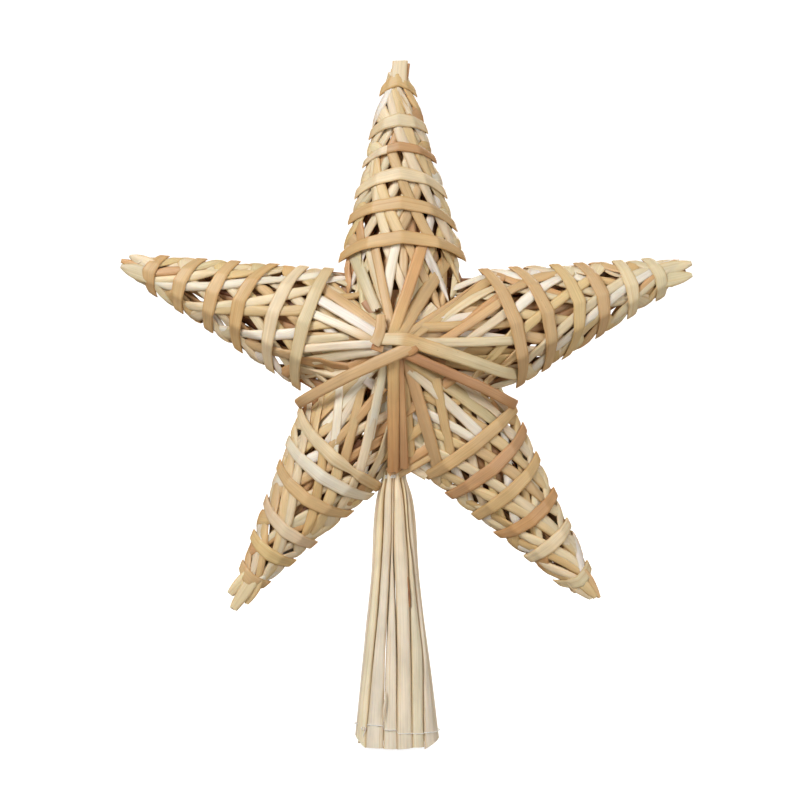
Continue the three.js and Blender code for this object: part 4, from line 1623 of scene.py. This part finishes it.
    def build(self, bench: Bench) -> None:
        """Makes the hub's pieces.

        Args:
            bench: Makes the pieces.
        """
        front = [self.fan(bench, fan) for fan in FRONT_FANS] + self.sling(bench)
        front += self.core(bench, 1) + self.web(bench, 1)
        front += [self.fan(bench, fan) for fan in LOWER_FAN.fans()]
        front += [path for arm in ARMS for path in arm.underlay(bench, 1)]
        bench.piece("front_fan", front, Slot.TAN, ["hub_front_straws"], self.FORM)
        back = [self.fan(bench, fan, -1) for fan in BACK_FAN.fans()]
        back += self.core(bench, -1) + self.web(bench, -1)
        back += [path for arm in ARMS for path in arm.underlay(bench, -1)]
        bench.piece("back_fan", back, Slot.TAN, ["hub_back_straws"], self.FORM)
        bench.piece("knot_wrap", self.knot_wrap(bench), Slot.PALE, ["hub_knot_strip"], self.FORM)
        left = self.strap(bench, TAN + ORANGE + BROWN, (-6.3, 4.8), (-6.4, 4.4), -46.6, 0.0)
        bench.piece("neck_strap_tan", [left], Slot.TAN, ["neck_strap_left"], self.FORM)
        right = self.strap(bench, BROWN + ORANGE + BROWN, (-3.4, 2.0), (-2.2, 4.2), -45.0, -0.5)
        bench.piece("neck_strap_brown", [right], Slot.BROWN, ["neck_strap_right"], self.FORM)


FRONT_FANS = (
    Fan("top", (-24.0, 46.0), (-12.6, 18.6), 4.2, 2 * GREEN + PALE, 2, 1.2),
    Fan("top", (-15.4, 46.0), (-6.0, 8.6), 3.8, TAN, 3),
    Fan("top", (-4.8, 46.0), (-9.8, 22.0), 4.5, WHITE, 0, 0.0, 0.4),
    Fan("top", (7.2, 45.0), (-6.8, 8.6), 4.9, 2 * ORANGE + TAN, 3),
    Fan("top", (-2.0, 38.0), (-2.0, 14.0), 4.0, TAN + PALE, 0, 0.0, 1.6),
    Fan("top", (20.0, 42.0), (-4.4, 8.4), 5.6, TAN, 4),
    Fan("right", (28.0, 37.0), (-2.6, 8.2), 3.9, ORANGE + TAN, 3),
    Fan("right", (33.0, 33.5), (-0.6, 6.8), 3.9, TAN, 2),
    Fan("right", (48.0, 28.0), (11.5, 5.6), 3.8, TAN + ORANGE, 1),
    Fan("right", (47.0, 7.5), (3.0, 6.0), 4.0, GREEN + PALE, 2),
    Fan("right", (44.0, -9.0), (14.0, -1.0), 4.0, TAN, 0, 0.0, 1.4),
    Fan("left", (-45.0, -10.0), (-12.0, -0.5), 4.0, PALE + TAN, 0, 0.0, 1.4),
    Fan("lower_right", (35.0, -23.0), (-1.0, 0.4), 5.4, GREEN + TAN, 2),
    Fan("lower_right", (29.0, -30.0), (0.0, -4.0), 4.4, WHITE + PALE, 0),
    Fan("lower_right", (21.5, -48.0), (10.5, -7.5), 4.0, TAN, 1),
    Fan("lower_right", (8.5, -42.0), (-2.2, 2.0), 4.8, TAN + ORANGE, 1, 0.0, -1.0),
    Fan("lower_left", (-15.0, -47.0), (-8.8, 2.0), 4.0, 2 * WHITE + GREEN, 2),
    Fan("lower_left", (-31.0, -33.0), (-9.5, -11.0), 3.8, TAN + ORANGE, 0, 0.0, 0.6),
    Fan("lower_left", (-43.0, -25.0), (-10.0, -1.0), 3.8, TAN + GREEN, 1),
    Fan("left", (-43.0, -4.0), (-6.0, 3.6), 3.9, PALE + WHITE, 2),
    Fan("left", (-43.0, 2.0), (-10.0, 5.6), 3.6, PALE + WHITE, 3),
    Fan("left", (-36.0, 25.0), (-9.5, 7.2), 4.2, WHITE, 3),
    Fan("left", (-40.0, 19.0), (-13.0, 6.0), 3.8, 2 * WHITE + TAN, 2),
    Fan("left", (-33.5, 30.0), (-9.5, 9.8), 4.1, TAN, 4),
    Fan("left", (-48.0, 10.0), (-16.0, 8.5), 3.8, TAN + ORANGE, 0, 0.0, 1.4),
    Fan("lower_left", (-33.0, -33.0), (-17.0, -8.0), 3.7, WHITE + PALE, 0, 0.0, 1.8),
    Fan("right", (48.0, 16.0), (2.0, 12.0), 4.2, TAN, 0, 0.0, 1.8),
    Fan("right", (48.0, 22.5), (-1.5, 12.6), 3.8, PALE + WHITE, 0, 0.0, 2.6),
    Fan("right", (44.0, -1.0), (15.0, 3.2), 3.6, ORANGE, 0, 0.0, 1.2),
    Fan("lower_right", (17.0, -40.0), (2.0, -13.0), 3.6, PALE + TAN, 0, 0.0, 2.0),
)


@dataclass(frozen=True)
class FanRound:
    """A fan laid evenly from every arm's base: its places across the arm, and its ends by the knot."""

    shares: tuple[float, ...]
    away: float
    step: float
    width: float
    sink: float

    TONES = (TAN, PALE, ORANGE, WHITE, TAN, GREEN, YELLOW)
    TONE_ARM, TONE_STRAW = 2, 3
    LAYERS = 4
    SINK_PLAY = 0.5

    def fans(self) -> list[Fan]:
        """Lists the fan's straws.

        Returns:
            The straws, arm by arm.
        """
        fans = []
        for place, arm in enumerate(ARMS):
            for count, share in enumerate(self.shares):
                start = arm.axis * BASE_ALONG
                start += arm.right * (share * arm.half_width(BASE_ALONG) + arm.beside)
                away = Vector((start.x - KNOT[0], start.z - KNOT[1])).normalized()
                away *= self.away + self.step * (count % 2)
                tones = self.TONES[(self.TONE_ARM * place + self.TONE_STRAW * count) % len(self.TONES)]
                layer = 0 if self.sink else (2 * count + place) % self.LAYERS
                sink = self.sink * (1 + self.SINK_PLAY * ((count + place) % 2))
                inner = (KNOT[0] + away.x, KNOT[1] + away.y)
                fans.append(Fan(arm.name, (start.x, start.z), inner, self.width, tones, layer, 0.0, sink))
        return fans


LOWER_FAN = FanRound((-0.93, -0.64, 0.6, 0.9), 4.0, 2.0, 4.0, 1.2)
BACK_FAN = FanRound((-0.9, -0.55, -0.2, 0.14, 0.48, 0.84), 1.2, -3.4, 4.4, 0.0)


# ---- the skirt


@dataclass(frozen=True)
class Skirt:
    """Fourteen straws pressed side by side in an oval funnel, tied at the neck and stitched at the hem."""

    count: int = 14
    hem: Triple = (17.8, 8.0, 1.1)
    neck: Triple = (5.0, 4.3, 2.1)
    neck_height: float = 108.0
    top: float = 115.0
    lines: tuple[tuple[float, ...], ...] = (
        (0.0, -12.4, -5.3, 0.1, 6.4, 11.0), (7.0, -12.1, -5.3, 0.1, 6.2, 10.7),
        (38.0, -8.8, -4.2, 0.5, 5.9, 10.7), (58.0, -6.6, -2.9, 0.2, 5.6, 8.6),
        (78.0, -5.1, -1.7, -0.6, 5.1, 6.6), (86.0, -4.6, -1.1, -0.7, 4.6, 5.4),
        (98.0, -4.1, -0.7, -0.4, 3.9, 4.6), (115.0, -3.2, -0.6, -0.3, 2.6, 3.6))
    side: float = 0.965
    inside: float = 0.9
    stands: tuple[float, ...] = (0.0, 0.0, 0.35, -0.7, 0.5, 0.0, -0.2, 0.0)
    play: float = 0.08
    hem_play: float = -0.1
    play_rise: float = 9.0
    narrowest: float = 0.35
    stem_steps: int = 28
    lean: float = -1.1
    shoulder: Triple = (1.35, 96.0, 15.0)
    slants: tuple[float, ...] = (0.0, -2.6, 0.0, 0.0, 0.3, 0.0, 2.0, 0.0)
    slant_steps: int = 2
    puff: float = 1.25
    draw: float = 0.36
    draw_reach: float = 3.4
    hem_cuts: tuple[float, ...] = (4.4, 2.2, 0.2, 0.0, 0.1, 0.5, 1.4, 3.2)
    back_cut_step: float = 0.4
    tie_height: float = 110.2
    thread: float = 0.5
    thread_steps: int = 520
    thread_twist: float = 0.9
    strand: Pair = (0.5, 0.55)
    tie_laps: float = 3.0
    tie_drop: float = 0.5
    tie_rise: float = 0.3
    stitch_dip: float = 0.75
    stitch_reach: float = 0.75
    stitch_bury: float = 1.1
    stitch_proud: float = 0.12
    stitch_heights: tuple[float, ...] = (
        10.2, 10.3, 10.4, 8.7, 7.3, 7.1, 7.3, 7.5, 7.7, 8.0, 8.4, 8.8, 9.3, 9.8)
    buried: int = 1
    knot: Pair = (-13.3, 9.0)
    knot_size: Triple = (0.95, 0.5, 0.22)
    knot_turns: int = 2
    knot_steps: int = 20
    tail_steps: int = 5
    seam_marks: int = 480
    stitch_step: float = 0.004
    knot_proud: float = 0.6
    tail: tuple[Pair, ...] = ((-12.6, 8.4), (-12.9, 7.5), (-13.4, 6.6), (-13.6, 5.7))
    mark: tuple[Triple, ...] = (
        (5.7, 57.5, 0.1), (5.6, 60.0, 0.6), (5.4, 63.0, 0.8), (5.2, 66.0, 0.5), (5.1, 70.5, 0.1))
    mark_look: Pair = (0.1, 0.5)
    torn_look: Pair = (0.9, 0.0)
    torn: tuple[Triple, ...] = (
        (-4.6, 24.6, 0.12), (-4.3, 22.4, 0.3), (-4.5, 20.0, 0.45), (-5.0, 17.0, 0.4), (-5.1, 12.6, 0.12))

    OVAL_STEPS = 240
    STEM_FORM = StrawForm(step=2.0, section_points=28, squareness=2.3, crown=0.3, groove=0.22,
                          groove_width=1.5, wobble=0.03)
    CORD_FORM = StrawForm(step=0.28, section_points=8, crown=0.0, groove=0.0, wobble=0.0, softness=0)
    SHRED_FORM = StrawForm(step=0.8, section_points=12, crown=0.05)

    def oval(self, height: float) -> Triple:
        """Gives the skirt's outline at a height.

        Args:
            height: The height above the mouth.

        Returns:
            The oval's half-width and half-depth, and the wall.
        """
        share = min(height / self.neck_height, 1.0)
        half_width, half_depth, wall = (a + (b - a) * share for a, b in zip(self.hem, self.neck))
        grow, middle, reach = self.shoulder
        return half_width + grow * math.exp(-((height - middle) / reach) ** 2), half_depth, wall

    def ring(self, height: float) -> Pair:
        """Gives the half-width and half-depth of the oval through the middles of the straws."""
        half_width, half_depth, wall = self.oval(height)
        return half_width - wall / 2, half_depth - wall / 2

    @classmethod
    def on_oval(cls, half_width: float, half_depth: float, share: float) -> Vector:
        """Gives a point on an oval.

        Args:
            half_width: The oval's half-width.
            half_depth: The oval's half-depth.
            share: The share of the girth from the middle of its left side.

        Returns:
            The point, at height zero.
        """
        steps = cls.OVAL_STEPS
        points = [Vector((-half_width * math.cos(2 * math.pi * at / steps),
                          -half_depth * math.sin(2 * math.pi * at / steps), 0.0)) for at in range(steps + 1)]
        runs = [0.0]
        for before, after in zip(points, points[1:]):
            runs.append(runs[-1] + (after - before).length)
        target = (share % 1.0) * runs[-1]
        at = next(order for order in range(1, steps + 1) if runs[order] >= target)
        part = (target - runs[at - 1]) / (runs[at] - runs[at - 1])
        return points[at - 1].lerp(points[at], part)

    def front_lines(self, height: float) -> list[float]:
        """Lists the lines between the six front straws at a height, as places across.

        Args:
            height: The height above the mouth.

        Returns:
            Seven places across, from the left side to the right.
        """
        reach = self.ring(height)[0]
        heights = [row[0] for row in self.lines]
        at = next((order for order, one in enumerate(heights[1:]) if height <= one), len(heights) - 2)
        low, high = self.lines[at], self.lines[at + 1]
        share = min(max((height - low[0]) / (high[0] - low[0]), 0.0), 1.0)
        inner = [a + (b - a) * share for a, b in zip(low[1:], high[1:])]
        edge, room = self.side * reach, self.inside * reach
        return [-edge, *(max(-room, min(room, one)) for one in inner), edge]

    def seam(self, order: int, height: float) -> tuple[Vector, Vector]:
        """Gives both edges of a straw on the oval at a height.

        Args:
            order: The straw's place round the skirt, from the left side through the front.
            height: The height above the mouth.

        Returns:
            The points of its two edges, at height zero.
        """
        ring = self.ring(height)
        front = len(self.hem_cuts) - 2
        if 1 <= order <= front:
            first, last = (Vector((one, -ring[1] * math.sqrt(max(0.0, 1 - (one / ring[0]) ** 2)), 0.0))
                           for one in self.front_lines(height)[order - 1:order + 1])
            return first, last
        side = math.acos(self.side) / math.tau
        if order in (0, front + 1):
            middle = 0.0 if order == 0 else 0.5
            return self.on_oval(*ring, middle - side), self.on_oval(*ring, middle + side)
        span = (0.5 - 2 * side) / (self.count - front - 2)
        start = 0.5 + side + span * (order - front - 2)
        return self.on_oval(*ring, start), self.on_oval(*ring, start + span)

    def stem(self, bench: Bench, order: int) -> StrawPath:
        """Lays one straw of the skirt from its cut end up to the neck.

        Args:
            bench: Gives the straw its number.
            order: Its place round the skirt.

        Returns:
            The straw's path.
        """
        cut = self.hem_cuts[order] if order < len(self.hem_cuts) else self.back_cut_step * (order % 3)
        slant = self.slants[order] if order < len(self.slants) else 0.0
        path = StrawPath(2 * CREAM + PALE, bench.seed())
        stand = self.stands[order % len(self.stands)]
        for step in range(self.stem_steps + 1):
            height = cut + (self.top - cut) * step / self.stem_steps
            first, last = self.seam(order, height)
            chord = last - first
            play = self.play + (self.hem_play - self.play) * math.exp(-height / self.play_rise)
            side = chord.normalized() * max(chord.length / 2 - play, self.narrowest)
            middle = (first + last) / 2
            out = UP.cross(side).normalized()
            out = out if out.dot(middle) > 0 else -out
            half_width, half_depth = self.ring(height)
            bowed = 1 / math.hypot(middle.x / half_width, middle.y / half_depth)
            bulge = stand * math.sin(math.pi * step / self.stem_steps)
            middle = middle * (0.5 + 0.5 * bowed) + out * bulge
            tilt = UP * (slant * max(0.0, 1 - step / self.slant_steps))
            pinch = self.pinch(height)
            path.add(middle * pinch + self.centre(height), side * pinch + tilt, out,
                     self.puff * self.oval(height)[2])
        return path

    def centre(self, height: float) -> Vector:
        """Gives the skirt's middle at a height, which leans a little to the left."""
        return Vector((self.lean * height / self.neck_height, 0.0, height))

    def pinch(self, height: float) -> float:
        """Gives how far the tie draws the straws in at a height, as a share of their place."""
        return 1 - self.draw * math.exp(-((height - self.tie_height) / self.draw_reach) ** 2)

    def seams(self, height: float) -> list[float]:
        """Lists where two straws meet at a height, as shares of the girth from the left side on.

        Args:
            height: The height above the mouth.

        Returns:
            The end of each straw, in their order round the skirt.
        """
        ring = self.ring(height)
        marks = [self.on_oval(*ring, at / self.seam_marks) for at in range(self.seam_marks)]
        ends = []
        for order in range(self.count):
            edge = self.seam(order, height)[1]
            gaps = [(mark - edge).length for mark in marks]
            ends.append(gaps.index(min(gaps)) / self.seam_marks)
        return ends

    def stitch_line(self, ends: Sequence[float]) -> list[Pair]:
        """Lists the hem thread's heights: level over each straw, and stepping where two straws meet.

        Args:
            ends: The end of each straw, as a share of the girth.

        Returns:
            Shares of the girth, each with a height.
        """
        line = [(0.0, self.stitch_heights[0])]
        for end, here, there in zip(ends, self.stitch_heights, self.stitch_heights[1:]):
            line += [(end - self.stitch_step, here), (end + self.stitch_step, there)]
        return line + [(ends[-1], self.stitch_heights[-1]), (1.0, self.stitch_heights[0])]

    def loop(self, bench: Bench, heights: Sequence[Pair], laps: float,
             ends: Sequence[float], pitch: float = 0.0) -> StrawPath:
        """Lays a twisted thread round the skirt, pulled in where two straws meet.

        Args:
            bench: Gives the thread its number.
            heights: Shares of the girth from the left side through the front, each with a height.
            laps: How often it goes round.
            ends: Where it is pulled in, as shares of the girth. None of them for a tight tie.
            pitch: How far it climbs with each turn.

        Returns:
            The thread's path.
        """
        path = StrawPath(WHITE, bench.seed())
        steps = round(self.thread_steps * laps)
        girth = math.pi * (self.hem[0] + self.hem[1])
        for step in range(steps + 1):
            share = step / steps * laps
            part = share % 1.0
            at = next(order for order in range(1, len(heights)) if part <= heights[order][0])
            (start, low), (end, high) = heights[at - 1], heights[at]
            height = low + (high - low) * (part - start) / max(end - start, 1e-6) + pitch * share
            dips = (math.exp(-((part - one) * girth / self.stitch_reach) ** 2) for one in ends)
            sink = sum(self.stitch_dip * dip for dip in dips)
            if ends:
                sink -= self.stitch_proud
                if ends[self.buried - 1] < part < ends[self.buried]:
                    sink += self.stitch_bury
            grow = self.puff * self.oval(height)[2] / 2 + self.thread / 2 - sink
            half_width, half_depth = (one * self.pinch(height) + grow for one in self.ring(height))
            place = self.on_oval(half_width, half_depth, share)
            out = Vector((place.x / half_width ** 2, place.y / half_depth ** 2, 0.0)).normalized()
            self.twist(path, place + self.centre(height), out, UP, step)
        return path

    def twist(self, path: StrawPath, place: Vector, out: Vector, up: Vector, step: int) -> None:
        """Adds a station of a twisted thread.

        Args:
            path: The thread's path.
            place: The station's place.
            out: One direction square to the thread.
            up: The other direction square to the thread.
            step: The station's number, which turns the section.
        """
        turn = self.thread_twist * step
        along, across = math.cos(turn), math.sin(turn)
        half, thick = (self.thread * share for share in self.strand)
        path.add(place, (out * along + up * across) * half, up * along - out * across, thick)

    def on_front(self, across: float, height: float, proud: float) -> Vector:
        """Gives a point over the front of the skirt.

        Args:
            across: The place across.
            height: The height above the mouth.
            proud: How far it stands off the straws.

        Returns:
            The point.
        """
        half_width, half_depth, wall = self.oval(height)
        depth = half_depth * math.sqrt(1 - (across / half_width) ** 2) + (self.puff - 1) * wall / 2
        return self.centre(height) + Vector((across, -depth - proud, 0.0))

    def knotted_end(self, bench: Bench) -> StrawPath:
        """Lays the knot of the hem's thread and its loose end, at the left of the front.

        Args:
            bench: Gives the thread its number.

        Returns:
            The thread's path.
        """
        path = StrawPath(WHITE, bench.seed())
        wide, high, deep = self.knot_size
        spots = []
        for step in range(self.knot_steps * self.knot_turns + 1):
            turn = math.tau * step / self.knot_steps
            spots.append((self.knot[0] + wide * math.cos(turn), self.knot[1] + high * math.sin(turn),
                          deep * math.sin(2 * turn) + deep * step / self.knot_steps))
        for before, after in zip(self.tail, self.tail[1:]):
            for part in range(self.tail_steps):
                share = part / self.tail_steps
                spots.append((*(a + (b - a) * share for a, b in zip(before, after)), 0.0))
        for step, (across, height, proud) in enumerate(spots):
            place = self.on_front(across, height, self.thread * self.knot_proud + proud)
            self.twist(path, place, FRONT, Vector((1.0, 0.0, 0.0)), step)
        return path

    def sliver(self, bench: Bench, tones: tuple[Tone, ...],
               stations: Sequence[Triple], proud: float, fold: float) -> StrawPath:
        """Lays a narrow shred on the front of the skirt.

        Args:
            bench: Gives the shred its number.
            tones: Its colours along it.
            stations: Place across, height and half-width, one after another.
            proud: How far it stands off the skirt.
            fold: How browned it is, up to 1.

        Returns:
            The shred's path.
        """
        path = StrawPath(tones, bench.seed())
        for across, height, half in stations:
            place = self.on_front(across, height, proud)
            path.add(place, Vector((half, 0.0, 0.0)), FRONT, self.thread, fold)
        return path

    def build(self, bench: Bench) -> None:
        """Makes the skirt's straws, the tie and the hem's stitches.

        Args:
            bench: Makes the pieces.
        """
        for order in range(self.count):
            number = f"{order + 1:02d}"
            stem = [self.stem(bench, order)]
            bench.piece(f"skirt_stem_{number}", stem, Slot.CREAM, [f"skirt_straw_{number}"], self.STEM_FORM)
        mark = self.sliver(bench, BROWN + DARK + BROWN, self.mark, *self.mark_look)
        bench.piece("sheath_remnant", [mark], Slot.BROWN, [], self.SHRED_FORM)
        torn = self.sliver(bench, CREAM + WHITE + CREAM, self.torn, *self.torn_look)
        bench.piece("torn_fibre", [torn], Slot.CREAM, [], self.SHRED_FORM)
        low = self.tie_height - self.tie_drop
        heights = [(0.0, low), (0.5, low + self.tie_rise), (1.0, low)]
        tie = self.loop(bench, heights, self.tie_laps, (), self.thread)
        bench.piece("neck_tie_thread", [tie], Slot.THREAD, ["neck_tie"], self.CORD_FORM)
        ends = self.seams(self.knot[1])
        stitch = self.loop(bench, self.stitch_line(ends), 1.0, ends)
        bench.piece("hem_stitches", [stitch, self.knotted_end(bench)], Slot.THREAD, ["hem_thread"],
                    self.CORD_FORM)


# ---- the studio


@dataclass(frozen=True)
class Studio:
    """A round white sweep, soft daylight from the upper left, and the camera square to the front."""

    camera_place: Triple = (1.25, -767.0, 141.35)
    lens: float = 85.0
    sensor: float = 36.0
    clip: Pair = (0.01, 20.0)
    sweep_radius: float = 1700.0
    sweep_height: float = 1500.0
    sweep_bend: float = 600.0
    bend_steps: int = 12
    sweep_turns: int = 64
    sweep_merge: float = 1e-5
    paper: Quad = (0.32, 0.29, 0.25, 1.0)
    paper_glow: float = 0.95
    daylight: Triple = (0.95, 0.97, 1.0)
    sky: Quad = (1.0, 0.94, 0.86, 1.0)
    sky_strength: float = 0.22
    lights: tuple[tuple[str, Triple, float, float], ...] = (
        ("window", (-700.0, -900.0, 900.0), 620.0, 18.5),
        ("fill", (900.0, -950.0, 300.0), 900.0, 9.5),
        ("back_fill", (500.0, 1100.0, 900.0), 900.0, 22.0))

    def sweep(self) -> None:
        """Makes the floor, which curves up all round."""
        profile = [(0.0, 0.0), (self.sweep_radius - self.sweep_bend, 0.0)]
        for step in range(1, self.bend_steps + 1):
            turn = math.pi / 2 * step / self.bend_steps
            profile.append((self.sweep_radius - self.sweep_bend * (1 - math.sin(turn)),
                            self.sweep_bend * (1 - math.cos(turn))))
        profile.append((self.sweep_radius, self.sweep_height))
        turns, points, faces = self.sweep_turns, [], []
        for radius, height in profile:
            for step in range(turns):
                turn = 2 * math.pi * step / turns
                points.append((radius * math.cos(turn) * MM, radius * math.sin(turn) * MM, height * MM))
        for ring in range(len(profile) - 1):
            for step in range(turns):
                beside = (step + 1) % turns
                faces.append((ring * turns + step, ring * turns + beside,
                              (ring + 1) * turns + beside, (ring + 1) * turns + step))
        mesh = bpy.data.meshes.new("studio_sweep")
        mesh.from_pydata(points, [], faces)
        shell = bmesh.new()
        shell.from_mesh(mesh)
        bmesh.ops.remove_doubles(shell, verts=shell.verts, dist=self.sweep_merge)
        shell.to_mesh(mesh)
        shell.free()
        mesh.shade_smooth()
        sweep = bpy.data.objects.new("studio_sweep", mesh)
        bpy.context.scene.collection.objects.link(sweep)
        material = blank_material("matt white paper")
        tree = material.node_tree
        ray = add_node(tree, "ShaderNodeLightPath")
        paper = add_node(tree, "ShaderNodeBsdfDiffuse", {"Color": self.paper})
        glow = add_node(tree, "ShaderNodeEmission", {
            "Color": (1.0, 1.0, 1.0, 1.0), "Strength": self.paper_glow})
        both = add_node(tree, "ShaderNodeAddShader", {0: paper.outputs[0], 1: glow.outputs[0]})
        seen = add_node(tree, "ShaderNodeMixShader", {
            0: ray.outputs["Is Camera Ray"], 1: paper.outputs[0], 2: both.outputs[0]})
        add_node(tree, "ShaderNodeOutputMaterial", {"Surface": seen.outputs[0]})
        mesh.materials.append(material)

    def soft_light(self, name: str, place: Triple, size: float, power: float) -> None:
        """Sets up a square soft light that faces the star.

        Args:
            name: The light's name.
            place: Its place in millimetres.
            size: Its side in millimetres.
            power: Its power in watts.
        """
        light = bpy.data.lights.new(name, "AREA")
        light.shape = "SQUARE"
        light.size = size * MM
        light.energy = power
        light.color = self.daylight
        lamp = bpy.data.objects.new(name, light)
        bpy.context.scene.collection.objects.link(lamp)
        lamp.location = Vector(place) * MM
        aim = STAR_CENTRE * MM - lamp.location
        lamp.rotation_euler = aim.to_track_quat("-Z", "Y").to_euler()

    def build(self) -> None:
        """Makes the sweep, the lights, the world and the camera."""
        self.sweep()
        for light in self.lights:
            self.soft_light(*light)
        world = bpy.data.worlds.new("daylight")
        world.use_nodes = True
        background = next(n for n in world.node_tree.nodes if n.type == "BACKGROUND")
        background.inputs["Color"].default_value = self.sky
        background.inputs["Strength"].default_value = self.sky_strength
        scene = bpy.context.scene
        scene.world = world
        scene.view_settings.view_transform = "Standard"
        lens = bpy.data.cameras.new("front_camera")
        lens.lens = self.lens
        lens.sensor_width = self.sensor
        lens.clip_start, lens.clip_end = self.clip
        camera = bpy.data.objects.new("front_camera", lens)
        camera.location = Vector(self.camera_place) * MM
        camera.rotation_euler = (math.pi / 2, 0.0, 0.0)
        scene.collection.objects.link(camera)
        scene.camera = camera


def main() -> None:
    """Builds the studio, the arms, the hub and the skirt."""
    logging.basicConfig(level=logging.INFO, format="%(message)s")
    Studio().build()
    bench = Bench(StrawMaker(), StrawFinish().build(), ThreadFinish().build())
    for arm in ARMS:
        arm.build(bench)
    Hub().build(bench)
    Skirt().build(bench)


if __name__ == "__main__":
    main()
